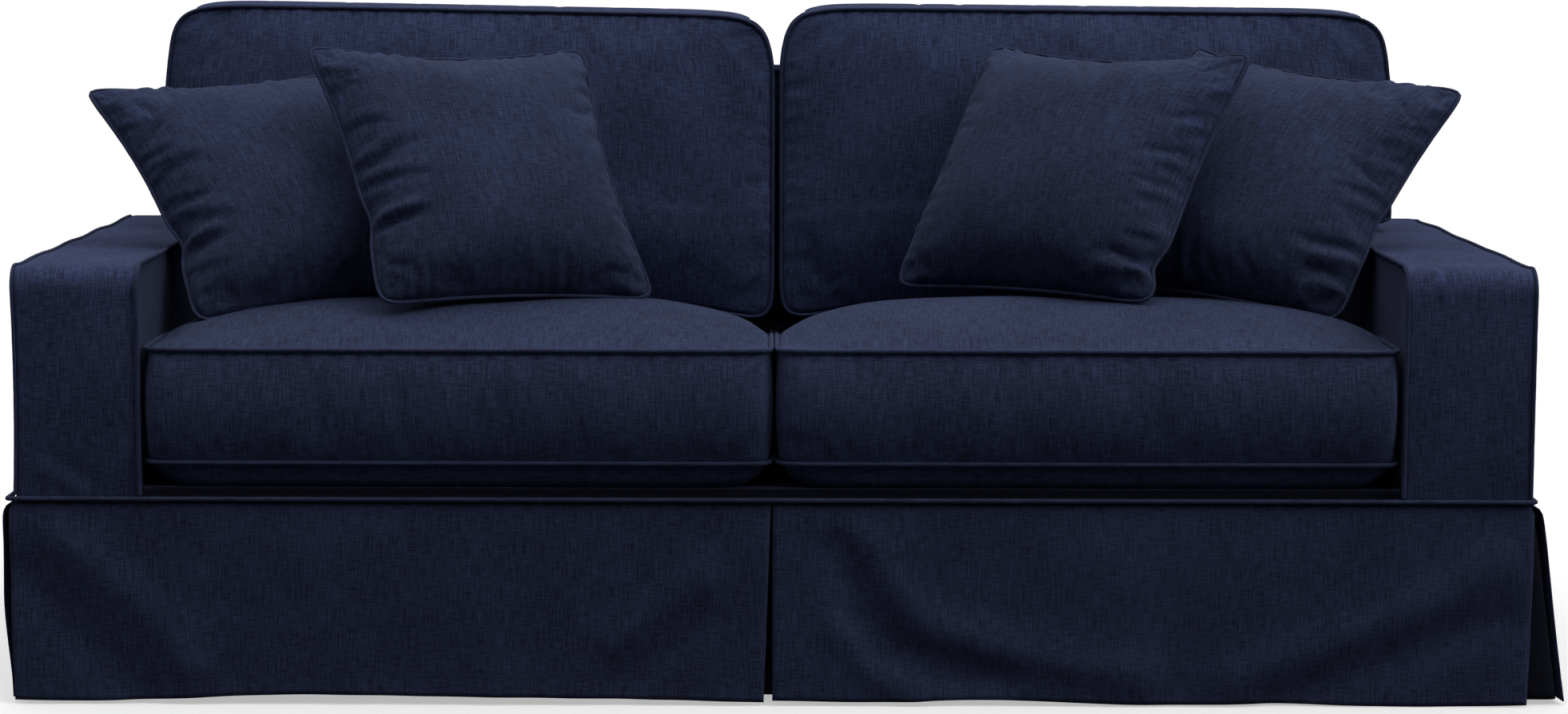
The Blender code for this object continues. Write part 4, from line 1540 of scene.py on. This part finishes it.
@dataclass(frozen=True)
class Filling:
    """Presses a sewn cover out from inside, as its filling does, and lets its cloth pucker at the seams."""

    pressure: float = 4.0
    slack: float = 0.025
    cap: float = 0.010
    frames: int = 20
    quality: int = 5
    stretch: float = 20.0
    bending: float = 0.4
    mass: float = 0.15

    def fill(self, piece: bpy.types.Object, pinned: Array, give: Array) -> None:
        """Simulates the filling on a piece's mesh.

        Args:
            piece: The cover, a closed mesh.
            pinned: True for each point that is sewn down.
            give: How much of the cap each point may move, from 0 to 1.
        """
        mesh = piece.data
        group = piece.vertex_groups.new(name="sewn")
        group.add(np.flatnonzero(pinned).tolist(), 1.0, "REPLACE")
        modifier = piece.modifiers.new("filling", "CLOTH")
        cloth = modifier.settings
        cloth.quality = self.quality
        cloth.mass = self.mass
        cloth.tension_stiffness = cloth.compression_stiffness = self.stretch
        cloth.shear_stiffness = self.stretch / 2.0
        cloth.bending_stiffness = self.bending
        cloth.use_pressure = True
        cloth.uniform_pressure_force = self.pressure
        cloth.effector_weights.gravity = 0.0
        cloth.vertex_group_mass = group.name
        cloth.shrink_min = -self.slack
        modifier.collision_settings.use_collision = False
        modifier.point_cache.frame_start = 1
        modifier.point_cache.frame_end = self.frames
        start = np.empty(len(mesh.vertices) * 3, np.float32)
        mesh.vertices.foreach_get("co", start)
        scene = bpy.context.scene
        for frame in range(1, self.frames + 1):
            scene.frame_set(frame)
        solved = piece.evaluated_get(bpy.context.evaluated_depsgraph_get())
        end = np.empty_like(start)
        solved.data.vertices.foreach_get("co", end)
        start, move = start.reshape(-1, 3), (end - start).reshape(-1, 3)
        length = np.maximum(np.linalg.norm(move, axis=1), 1e-9)
        limit = self.cap * give
        move *= (limit * np.tanh(length / np.maximum(limit, 1e-6)) / length)[:, None]
        piece.modifiers.remove(modifier)
        piece.vertex_groups.remove(group)
        mesh.vertices.foreach_set("co", (start + move).astype(np.float32).ravel())
        mesh.update()
        scene.frame_set(1)


def seam_puckers(x: Array, y: Array, half: tuple[float, float], depth: float, reach: float, seed: int) -> Array:
    """Small ripples square to a panel's four seams, strongest at the seams and in uneven groups.

    Args:
        x: Places across the flat panel, from its middle.
        y: Places up the flat panel, from its middle.
        half: Half the panel's width and height.
        depth: How deep the ripples are.
        reach: How far they run in from the seam.
        seed: Which of the possible patterns it is.

    Returns:
        How far each place is pushed out.
    """
    total = np.zeros_like(x)
    for number, (along, inward) in enumerate(((y, half[0] + x), (y, half[0] - x), (x, half[1] + y), (x, half[1] - y))):
        line = along[:, None]
        groups = smooth_step(-0.2, 0.9, ripple(line, 0.17, seed + number))
        waves = ripple(line + 0.15 * inward[:, None], 0.024, seed + 10 + number, terms=5)
        inward = np.maximum(inward, 0.0)
        total += depth * groups * waves * np.exp(-inward / reach) * smooth_step(0.0, 0.004, inward)
    return total


@dataclass(frozen=True)
class Panel:
    """How uneven a filled panel is: small puckers at its seams and broad swells in its middle."""

    puckers: float
    reach: float
    swells: Waver
    evenness: float = 6.0

    def field(self, places: Array, x: Array, y: Array, half: Span, seed: int) -> Array:
        """How far each place is pushed out.

        Args:
            places: The places on the block.
            x: Places across the flat panel, from its middle.
            y: Places up the flat panel, from its middle.
            half: Half the panel's width and height.
            seed: Which of the possible patterns it is.

        Returns:
            One value for each place.
        """
        swells = self.swells.at(np.stack([x, y], axis=1), seed + 3)
        swells = swells * dome(places[:, 0], self.evenness, 1.0) * dome(places[:, 1], self.evenness, 1.0)
        return seam_puckers(x, y, half, self.puckers, self.reach, seed) + swells


class Padded:
    """A filled cushion or pillow: a sewn cover over its filling, piped at its seams."""

    node: str
    cloth: WovenCloth
    counts: tuple[int, int, int]
    half: tuple[float, float, float]
    creases: tuple[Crease, ...]
    filling: Filling
    tightness: float
    seams: tuple[tuple[str, float], ...]
    across_seams: Array
    rim_steps: int
    welt_out: float
    welt_forward: float
    welt_radius: float

    def place(self, u: Array, v: Array, w: Array) -> Array:
        """The cover's point for each place of a block from -1 to 1."""
        raise NotImplementedError

    def give(self, places: Array) -> Array:
        """How much of the filling's cap each place may move."""
        raise NotImplementedError

    def puckers(self, places: Array) -> Array:
        """How far the small puckers beside the seams push each place out."""
        raise NotImplementedError

    def shades(self, places: Array) -> Array:
        """Painted shade and light at each place of a block, besides the wear at the seams: below 0 darker, above 0
        lighter.
        """
        return np.zeros(len(places))

    def rim(self, count: int) -> Array:
        """Places round the edge of the block's top, anticlockwise.

        Args:
            count: How many places each side gets.

        Returns:
            u and v of each place.
        """
        line = np.linspace(-1.0, 1.0, count, endpoint=False)
        one = np.ones(count)
        return np.concatenate([np.stack([line, -one], axis=1), np.stack([one, line], axis=1),
                               np.stack([-line, one], axis=1), np.stack([-one, -line], axis=1)])

    def build_cover(self, room: Workroom) -> None:
        """Makes the cover, creases it and lets the filling press it out.

        Args:
            room: The workroom.
        """
        places, faces, axes = block(self.counts)
        points = self.place(*places.T)
        size = np.asarray(self.half)
        pairs = np.array([(1, 2), (0, 2), (0, 1)])[axes]
        scaled = places * size
        flat = np.stack([scaled[faces, pairs[:, None, column]] for column in range(2)], axis=-1)
        edge = np.sort((1.0 - np.abs(places)) * size, axis=1)
        shape = Shape(points, faces, flat, np.exp(-edge[:, 1] / COVER_SEAM_REACH) + self.shades(places))
        front = places[:, 2] > RIM
        lift = np.where(front, relief(self.creases, scaled[:, 0], scaled[:, 1]), 0.0)
        shape.push(lift + self.puckers(places))
        piece = room.keep("padded_" + self.node, shape.mesh(self.node), self.cloth)
        self.filling.fill(piece, (np.abs(places) > RIM).sum(axis=1) > 1, self.give(places))
        room.hand_over(piece, self.cloth, self.node)

    def build_piping(self, room: Workroom) -> None:
        """Makes the piping of each seam, which runs round the block at a level of its own.

        Args:
            room: The workroom.
        """
        rim = self.rim(self.rim_steps)
        for node, level in self.seams:
            seam = self.place(rim[:, 0], rim[:, 1], np.full(len(rim), level))
            route = beside(seam, self.across_seams, self.welt_out, level * self.welt_forward, True)
            room.piping(node, route, True, self.welt_radius)

    def build(self, room: Workroom) -> None:
        """Makes the whole cushion."""
        self.build_cover(room)
        self.build_piping(room)


@dataclass
class SeatCushion(Padded):
    """One seat cushion: crowned above, boxed at its sides, piped at both seams."""

    side: Side
    left: float
    right: float
    seed: int
    creases: tuple[Crease, ...] = ()
    front: float = 0.0
    rear: float = 0.763
    seam_low: float = 0.341
    seam_high: float = 0.496
    dip: float = 0.044
    dip_from: float = 0.150
    dip_to: float = 0.600
    crown: float = 0.058
    crest: float = 0.400
    sag: float = 0.052
    floor: float = 0.3026
    bulge: Span = (0.0040, 0.015)
    above: Panel = Panel(0.0009, 0.018, Waver(0.0012, 0.16))
    boxing_puckers: Span = (0.0008, 0.014)
    boxing_waver: Waver = Waver(0.0008, 0.12)
    give_boxing: Span = (0.55, 0.25)
    give_seam: float = 0.25
    rim_steps: int = 130
    welt_out: float = 0.0033
    welt_forward: float = 0.0021
    welt_radius: float = CORD_RADIUS
    # Painted shade on the upper panel
    shade: float = -0.85
    rounding: float = 36.0
    tightness: float = 0.75
    cloth: WovenCloth = CUSHION_CLOTH
    counts: tuple[int, int, int] = (96, 84, 18)
    filling: Filling = Filling(cap=0.006)

    def __post_init__(self) -> None:
        """Works out the names of the nodes and the cushion's half sizes."""
        self.node = f"seat_cushion_{self.side.label}"
        self.seams = ((f"seat_welt_bottom_{self.side.label}", -1.0), (f"seat_welt_top_{self.side.label}", 1.0))
        self.across_seams = np.array([0.0, 0.0, 1.0])
        self.half = ((self.right - self.left) / 2, (self.rear - self.front) / 2, (self.seam_high - self.seam_low) / 2)

    def seam_at(self, y: Array) -> Array:
        """Height of the upper seam, which dips under the back cushion's weight."""
        return self.seam_high - self.dip * smooth_step(self.dip_from, self.dip_to, y)

    def top_at(self, x_share: Array, y: Array) -> Array:
        """Height of the crown, at a share of the half width and a depth.

        Args:
            x_share: Shares of the half width.
            y: Depths.

        Returns:
            One height for each place.
        """
        reach = np.where(y < self.crest, self.crest - self.front, self.rear - self.crest)
        y_share = np.minimum(1.0, np.abs(y - self.crest) / reach)
        return self.seam_at(y) + self.crown * dome(x_share, 4.0, 0.8) * dome(y_share, 2.2, 0.8)

    def place(self, u: Array, v: Array, w: Array) -> Array:
        """The cover's point for each place of a block from -1 to 1.

        Args:
            u: Places from left to right.
            v: Places from the front or the foot up.
            w: Places from the lower or rear face to the upper or front one.

        Returns:
            One point for each place, counted from the floor.
        """
        x_share, y_share = rounded(u, v, self.rounding)
        x = (self.left + self.right) / 2 + self.half[0] * x_share
        y = (self.front + self.rear) / 2 + self.half[1] * y_share
        hollow = self.sag * dome(u, 16.0, 0.8) * dome(v, 24.0, 0.8)
        under = np.maximum(self.floor, self.seam_low - hollow)
        boxing = share(self.seam_low, self.seam_at(y), (w + 1.0) / 2)
        z = np.where(w > RIM, self.top_at(u, y), np.where(w < -RIM, under, boxing))
        out = 1.0 - w * w
        x = x + self.bulge[0] * x_share * out * (np.abs(u) > RIM)
        y = y + self.bulge[1] * y_share * out * (np.abs(v) > RIM)
        return np.stack([x, y, z], axis=1)

    def give(self, places: Array) -> Array:
        """Free above, little at the sides, none where the cushion rests.

        Args:
            places: Places on the block.

        Returns:
            Each place's share of the cap.
        """
        _, v, w = places.T
        sides = np.where(v < -RIM, *self.give_boxing)
        above = share(self.give_seam, 1.0, dome(v, 4.0, 1.0))
        return np.where(w > RIM, above, np.where(w < -RIM, 0.0, sides * (1.0 - w**8)))

    def puckers(self, places: Array) -> Array:
        """Puckers of the upper panel and of the front boxing.

        Args:
            places: Places on the block.

        Returns:
            One distance for each place.
        """
        x, y, z = (places * np.asarray(self.half)).T
        above = self.above.field(places, x, y, self.half[:2], self.seed)
        boxing = seam_puckers(x, z, self.half[::2], *self.boxing_puckers, self.seed + 40)
        waves = self.boxing_waver.at(np.stack([x, z * 0.5], axis=1), self.seed + 5)
        boxing += waves * dome(places[:, 2], 4.0, 1.0)
        return np.where(places[:, 2] > RIM, above, np.where(places[:, 1] < -RIM, boxing, 0.0))

    def shades(self, places: Array) -> Array:
        """Painted shade: the upper panel is darker, holding back the light that falls on it from above."""
        dark = self.shade * dome(places[:, 0], 16.0, 1.0) * dome(places[:, 1], 16.0, 1.0)
        return np.where(places[:, 2] > RIM, dark, 0.0)


@dataclass
class BackCushion(Padded):
    """One back cushion: stands on the seat cushion, leans back and reaches over the arm."""

    side: Side
    inner: float
    outer_high: float
    outer_low: float
    drop_inner: float
    drop_outer: float
    seat: SeatCushion
    seed: int
    creases: tuple[Crease, ...] = ()
    seam_front: float = 0.600
    seam_rear: float = 0.720
    lean: float = 0.034
    top: float = 0.965
    crown_front: float = 0.040
    crown_rear: float = 0.010
    bulge: Span = (0.0015, 0.0075)
    ahead: Panel = Panel(0.0012, 0.026, Waver(0.0015, 0.15))
    clear: float = 0.009
    foot_y: float = 0.580
    ear: Span = (0.621, 0.637)
    give_boxing: Span = (0.35, 0.20)
    give_foot: float = 0.3
    rim_steps: int = 110
    welt_out: float = 0.0020
    welt_forward: float = 0.0022
    welt_radius: float = 0.0027
    rounding: float = 13.0
    shoulder: Span = (0.017, 0.023)
    shoulder_from: Span = (0.60, 0.32)
    tightness: float = 0.65
    cloth: WovenCloth = CUSHION_CLOTH
    counts: tuple[int, int, int] = (96, 64, 14)
    filling: Filling = Filling(cap=0.007)

    def __post_init__(self) -> None:
        """Works out the names of the nodes and the cushion's half sizes."""
        self.node = f"back_cushion_{self.side.label}"
        welt = "back_cushion_welt"
        self.seams = ((f"{welt}_rear_{self.side.label}", -1.0), (f"{welt}_front_{self.side.label}", 1.0))
        self.across_seams = np.array([0.0, -1.0, 0.0])
        self.half = (abs(self.outer_high - self.inner) / 2, (self.top - self.seat.seam_high) / 2,
                     (self.seam_rear - self.seam_front) / 2)

    def place(self, u: Array, v: Array, w: Array) -> Array:
        """The cover's point for each place of a block from -1 to 1.

        Args:
            u: Places from left to right.
            v: Places from the front or the foot up.
            w: Places from the lower or rear face to the upper or front one.

        Returns:
            One point for each place, counted from the floor.
        """
        seat = self.seat
        x_share, z_share = rounded(u, v, self.rounding)
        outer_end = u * self.side.value > 0.0
        start = np.where(outer_end, self.shoulder_from[1], self.shoulder_from[0])
        drawn = np.where(outer_end, self.shoulder[1], self.shoulder[0])
        x_share = x_share * (1.0 - drawn * smooth_step(0.0, 1.0, (v - start) / (0.98 - start)) * np.abs(u))
        high = (z_share + 1.0) / 2
        outward = (x_share * self.side.value + 1.0) / 2
        guess = share(seat.seam_high - seat.dip, self.top, high)
        outer = share(self.outer_low, self.outer_high, smooth_step(*self.ear, guess))
        x = share(self.inner, outer, outward)
        foot_share = np.minimum(1.0, np.abs((x - (seat.left + seat.right) / 2) / seat.half[0]))
        foot = seat.top_at(foot_share, np.full_like(x, self.foot_y)) + self.clear
        z = share(foot, self.top - share(self.drop_inner, self.drop_outer, outward), high)
        lean = self.lean * (z - seat.seam_high) / (self.top - seat.seam_high)
        y = share(self.seam_rear, self.seam_front, (w + 1.0) / 2) + lean
        crown = dome(u, 3.0, 0.9) * dome(v, 3.0, 0.9)
        y = y + np.where(w > RIM, -self.crown_front * crown, np.where(w < -RIM, self.crown_rear * crown, 0.0))
        boxing = np.abs(w) < RIM
        x = x + np.where(boxing & (np.abs(u) > RIM), self.bulge[0] * x_share, 0.0)
        z = z + np.where(boxing & (v > RIM) & (np.abs(u) < RIM), self.bulge[1] * (1.0 - w * w), 0.0)
        return np.stack([x, y, z], axis=1)

    def give(self, places: Array) -> Array:
        """Free in front, little at the sides, none where the cushion stands or leans.

        Args:
            places: Places on the block.

        Returns:
            Each place's share of the cap.
        """
        _, v, w = places.T
        front = share(self.give_foot, 1.0, smooth_step(-1.0, -0.5, v))
        sides = np.where(v > RIM, *self.give_boxing) * (1.0 - w**8)
        return np.where(w > RIM, front, np.where((w < -RIM) | (v < -RIM), 0.0, sides))

    def puckers(self, places: Array) -> Array:
        """Puckers of the front panel."""
        x, y, _ = (places * np.asarray(self.half)).T
        return np.where(places[:, 2] > RIM, self.ahead.field(places, x, y, self.half[:2], self.seed), 0.0)


@dataclass
class Pillow(Padded):
    """One knife-edge pillow with drawn-in sides and pointed corners, piped round its edge."""

    label: str
    middle: tuple[float, float, float]
    yaw: float
    lean: float
    roll: float
    flop: float
    seed: int
    creases: tuple[Crease, ...]
    draws: tuple[float, float, float, float]
    kink: tuple[int, float, float]
    side: float = 0.425
    edge: float = 0.0030
    front: float = 0.078
    rear: float = 0.058
    rounding: float = 16.0
    wide_top: float = 0.030
    perk: float = 0.0
    kink_reach: float = 0.13
    panel: Panel = Panel(0.0018, 0.030, Waver(0.0016, 0.12), 5.0)
    give_rear: float = 0.25
    uneven_rear: float = 0.6
    rim_steps: int = 70
    welt_out: float = 0.0026
    welt_forward: float = 0.0
    welt_radius: float = 0.0028
    tightness: float = 0.6
    cloth: WovenCloth = PILLOW_CLOTH
    counts: tuple[int, int, int] = (100, 100, 1)
    filling: Filling = Filling(cap=0.008, slack=0.035)

    def __post_init__(self) -> None:
        """Works out the names of the nodes, the half sizes and the way that the pillow is turned."""
        self.node = f"pillow_{self.label}"
        self.half = (self.side / 2, self.side / 2, self.edge)
        turn = Matrix.Rotation(math.radians(self.yaw), 3, "Z")
        turn = turn @ Matrix.Rotation(math.radians(90.0 - self.lean), 3, "X")
        self.turn = np.array(turn @ Matrix.Rotation(math.radians(self.roll), 3, "Z"))
        self.seams = ((f"pillow_welt_{self.label}", 0.0),)
        self.across_seams = self.turn @ np.array([0.0, 0.0, 1.0])

    def place(self, u: Array, v: Array, w: Array) -> Array:
        """The cover's point for each place of a block from -1 to 1.

        Args:
            u: Places from left to right.
            v: Places from the front or the foot up.
            w: Places from the lower or rear face to the upper or front one.

        Returns:
            One point for each place, counted from the floor.
        """
        half = self.side / 2
        x_share, y_share = rounded(u, v, self.rounding)
        left, right, bottom, top = self.draws
        end, height, pinch = self.kink
        across = half * x_share * (1.0 - np.where(u < 0.0, left, right) * (1.0 - v * v) * u * u)
        across = across * (1.0 + self.wide_top * ((v + 1.0) / 2) ** 2)
        near = np.exp(-(((v - height) / self.kink_reach) ** 2))
        across = across - end * pinch * near * np.clip(u * end, 0.0, 1.0) ** 3
        across = across + self.flop * ((v + 1.0) / 2) ** 2
        up = half * y_share * (1.0 - np.where(v < 0.0, bottom, top) * (1.0 - u * u) * v * v)
        up = up + self.perk * np.clip(-u * end, 0.0, 1.0) ** 5 * np.clip(v, 0.0, 1.0) ** 5
        fill = dome(u, 2.4, 0.56) * dome(v, 2.4, 0.56)
        out = w * (self.edge / 2 + np.where(w > 0, self.front, self.rear) * fill)
        return np.asarray(self.middle) + np.stack([across, up, out], axis=1) @ self.turn.T

    def give(self, places: Array) -> Array:
        """Free in front and less behind, where the pillow leans."""
        return np.where(places[:, 2] > 0.0, 1.0, self.give_rear)

    def puckers(self, places: Array) -> Array:
        """Puckers beside the edge, stronger at the sides than above and below.

        Args:
            places: Places on the block.

        Returns:
            One distance for each place.
        """
        x, y, _ = (places * np.asarray(self.half)).T
        field = self.panel.field(places, x, y, self.half[:2], self.seed)
        return field * np.where(places[:, 2] > 0.0, 1.0, self.uneven_rear)


# The studio


@dataclass(frozen=True)
class Lamp:
    """One broad studio light that reaches the sofa and the whole floor alike."""

    name: str
    source: tuple[float, float, float]
    spread: float
    power: float

    def build(self) -> None:
        """Hangs the light."""
        light = bpy.data.lights.new(self.name, "SUN")
        light.angle = math.radians(self.spread)
        light.energy = self.power
        lamp = stand(self.name, light)
        lamp.location = self.source
        lamp.rotation_euler = (-Vector(self.source)).to_track_quat("-Z", "Y").to_euler()


@dataclass(frozen=True)
class Studio:
    """A pale floor, soft lights and the camera at the photograph's viewing angle."""

    lens: float = 80.02
    shift: float = 0.00765
    camera_place: tuple[float, float, float] = (0.0, -4.833, 1.062)
    tilt: float = -6.75
    roll: float = 0.15
    floor_half: float = 150.0
    floor_drop: float = 0.004
    floor_roughness: float = 0.9
    sensor: float = 36.0
    paint: float = 0.50
    glow: float = 0.46
    sky: float = 2.00
    ground: float = 0.075
    sky_from: float = 0.45
    sky_full: float = 1.00
    lamps: tuple[Lamp, ...] = (Lamp("key_light", (2.6, -1.2, 2.2), 40.0, 0.95),)

    def build_floor(self) -> None:
        """Lays the floor."""
        half, level = self.floor_half, -FRAME_ORIGIN.z - self.floor_drop
        corners = [(x * half, y * half, level) for x, y in ((-1, -1), (1, -1), (1, 1), (-1, 1))]
        mesh = bpy.data.meshes.new("studio_floor")
        mesh.from_pydata(corners, [], [(0, 1, 2, 3)])
        material = bpy.data.materials.new("studio_paint")
        material.use_nodes = True
        shader = material.node_tree.nodes["Principled BSDF"]
        shader.inputs["Base Color"].default_value = (self.paint, self.paint, self.paint, 1.0)
        shader.inputs["Roughness"].default_value = self.floor_roughness
        shader.inputs["Emission Color"].default_value = (1.0, 1.0, 1.0, 1.0)
        shader.inputs["Emission Strength"].default_value = self.glow
        mesh.materials.append(material)
        floor = stand("studio_floor", mesh)
        floor.visible_diffuse = False
        floor.visible_glossy = False
        floor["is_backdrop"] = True

    def build_world(self) -> None:
        """Sets the soft light from above, which fades out below the horizon."""
        world = bpy.data.worlds.new("studio")
        world.use_nodes = True
        tree = Tree(world.node_tree)
        way = tree.add("ShaderNodeTexCoord").outputs["Generated"]
        height = tree.add("ShaderNodeSeparateXYZ", {0: way}).outputs[2]
        light = tree.add("ShaderNodeMapRange",
                         {"Value": height, "From Min": self.sky_from, "From Max": self.sky_full,
                          "To Min": self.ground, "To Max": self.sky}, interpolation_type="SMOOTHSTEP")
        world.node_tree.links.new(light.outputs[0], world.node_tree.nodes["Background"].inputs["Strength"])
        world.node_tree.nodes["Background"].inputs["Color"].default_value = (1.0, 1.0, 1.0, 1.0)
        bpy.context.scene.world = world
        bpy.context.scene.view_settings.view_transform = "Standard"

    def build_camera(self) -> None:
        """Stands the camera where the photograph was taken from."""
        data = bpy.data.cameras.new("camera")
        data.sensor_width = self.sensor
        data.lens = self.lens
        data.shift_x = self.shift
        camera = stand("camera", data)
        place = Matrix.Translation(Vector(self.camera_place) - FRAME_ORIGIN)
        turn = Matrix.Rotation(math.radians(90.0 + self.tilt), 4, "X")
        turn = turn @ Matrix.Rotation(math.radians(self.roll), 4, "Z")
        camera.matrix_world = place @ turn
        bpy.context.scene.camera = camera

    def build(self) -> None:
        """Makes the floor, the lights and the camera."""
        self.build_floor()
        self.build_world()
        for lamp in self.lamps:
            lamp.build()
        self.build_camera()


# The pillows' main creases, as places from the middle of each front panel: start, end, depth, width,
# bow and ridge. Each runs in from a seam where the filling pulls the cloth.

OUTER_LEFT_CREASES = (
    Crease((-0.208, 0.126), (-0.165, 0.092), 0.0015, 0.0070, 0.004),
    Crease((-0.212, 0.070), (-0.160, 0.040), 0.0018, 0.0080, 0.004),
    Crease((-0.210, 0.022), (-0.120, 0.010), 0.0027, 0.0090, 0.012, 0.9),
    Crease((-0.210, -0.020), (-0.135, -0.040), 0.0020, 0.0080, -0.004),
    Crease((-0.210, -0.050), (-0.110, -0.085), 0.0022, 0.0090, -0.005),
    Crease((-0.210, -0.110), (-0.150, -0.104), 0.0064, 0.0090, 0.004, 1.1),
    Crease((-0.205, -0.150), (-0.140, -0.160), 0.0018, 0.0090, 0.003),
)
INNER_LEFT_CREASES = (
    Crease((-0.210, 0.130), (-0.160, 0.110), 0.0015, 0.0090, 0.003),
    Crease((-0.211, 0.060), (-0.150, 0.050), 0.0015, 0.0080, 0.004),
    Crease((-0.212, -0.012), (-0.115, 0.018), 0.0030, 0.0090, 0.005, 0.9),
    Crease((-0.210, -0.036), (-0.095, -0.044), 0.0022, 0.0080, 0.003, 1.0),
    Crease((-0.212, -0.103), (-0.128, -0.098), 0.0072, 0.0080, 0.003, 1.2),
    Crease((-0.205, -0.150), (-0.165, -0.190), 0.0020, 0.0080, 0.003),
    Crease((0.208, -0.198), (0.120, -0.188), 0.0025, 0.0090, -0.004),
    Crease((0.206, 0.170), (0.175, 0.060), 0.0018, 0.0120, 0.006),
    Crease((0.010, 0.208), (0.000, 0.150), 0.0025, 0.0160, 0.000, 0.4),
)
INNER_RIGHT_CREASES = (
    Crease((0.212, 0.165), (0.165, 0.120), 0.0020, 0.0090, -0.003),
    Crease((0.211, 0.095), (0.160, 0.050), 0.0020, 0.0080, -0.004),
    Crease((0.212, 0.028), (0.160, 0.000), 0.0020, 0.0080, -0.003),
    Crease((0.211, -0.030), (0.150, -0.040), 0.0018, 0.0080, 0.003),
    Crease((0.211, -0.090), (0.160, -0.100), 0.0018, 0.0080, 0.003),
    Crease((0.210, -0.160), (0.120, -0.160), 0.0068, 0.0085, -0.003, 1.1),
    Crease((-0.208, -0.200), (-0.120, -0.185), 0.0020, 0.0090, 0.004),
)
OUTER_RIGHT_CREASES = (
    Crease((0.212, 0.120), (0.165, 0.080), 0.0015, 0.0080, -0.004),
    Crease((0.212, 0.060), (0.160, 0.030), 0.0018, 0.0080, -0.004),
    Crease((0.212, -0.010), (0.165, -0.035), 0.0025, 0.0085, -0.004),
    Crease((0.211, -0.100), (0.115, -0.118), 0.0068, 0.0090, 0.008, 1.1),
    Crease((0.209, -0.158), (0.140, -0.165), 0.0059, 0.0085, -0.004, 1.0),
    Crease((0.190, -0.206), (0.150, -0.180), 0.0022, 0.0080, 0.003),
)


def main() -> None:
    """Builds the studio, the fitted cover, the cushions and the pillows, in that order."""
    logging.basicConfig(level=logging.INFO, format="%(relativeCreated)7d ms %(name)s: %(message)s")
    room = Workroom()
    Studio().build()
    sizes = CoverSizes()
    Arm(Side.LEFT, sizes, (Crease((1.03, 0.075), (0.93, 0.010), 0.0022, 0.010, ridge=1.2),), slack=0.0085).build(room)
    Arm(Side.RIGHT, sizes).build(room)
    Back(sizes).build(room)
    SeatCloth(sizes).build(room)
    Skirt(sizes).build(room)

    left_seat = SeatCushion(Side.LEFT, left=-0.8775, right=-0.0040, seed=101)
    right_seat = SeatCushion(Side.RIGHT, left=0.0105, right=0.8765, seed=131)
    backs = (
        BackCushion(Side.LEFT, inner=-0.0015, outer_high=-0.946, outer_low=-0.866, drop_inner=0.016,
                    drop_outer=0.000, seat=left_seat, seed=161),
        BackCushion(Side.RIGHT, inner=0.0155, outer_high=0.964, outer_low=0.866, drop_inner=0.003,
                    drop_outer=0.011, seat=right_seat, seed=191),
    )
    pillows = (
        Pillow("outer_left", (-0.697, 0.352, 0.700), yaw=20.0, lean=39.0, roll=5.0, flop=-0.068, seed=221,
               creases=OUTER_LEFT_CREASES, draws=(0.050, 0.050, 0.050, 0.100), kink=(-1, -0.38, 0.011)),
        Pillow("inner_left", (-0.411, 0.292, 0.728), yaw=26.0, lean=32.5, roll=-1.5, flop=-0.033, seed=251,
               creases=INNER_LEFT_CREASES, draws=(0.050, 0.120, 0.050, 0.110), kink=(-1, -0.39, 0.008)),
        Pillow("inner_right", (0.430, 0.372, 0.729), yaw=-32.0, lean=33.5, roll=-0.5, flop=0.037, seed=281,
               creases=INNER_RIGHT_CREASES, draws=(0.050, 0.020, 0.050, 0.120), kink=(1, -0.73, 0.014)),
        Pillow("outer_right", (0.711, 0.405, 0.710), yaw=-23.0, lean=37.5, roll=-7.6, flop=0.062, seed=311,
               creases=OUTER_RIGHT_CREASES, draws=(0.050, 0.012, 0.050, 0.055), kink=(1, -0.20, 0.005), perk=0.020),
    )
    for cushion in (left_seat, right_seat, *backs, *pillows):
        cushion.build(room)

    LOG.info("%d pieces", room.pieces)
    boxes = {"solids": room.solid_box, "visual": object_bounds()}
    {name: [list(corner) for corner in box] for name, box in boxes.items()}


if __name__ == "__main__":
    main()
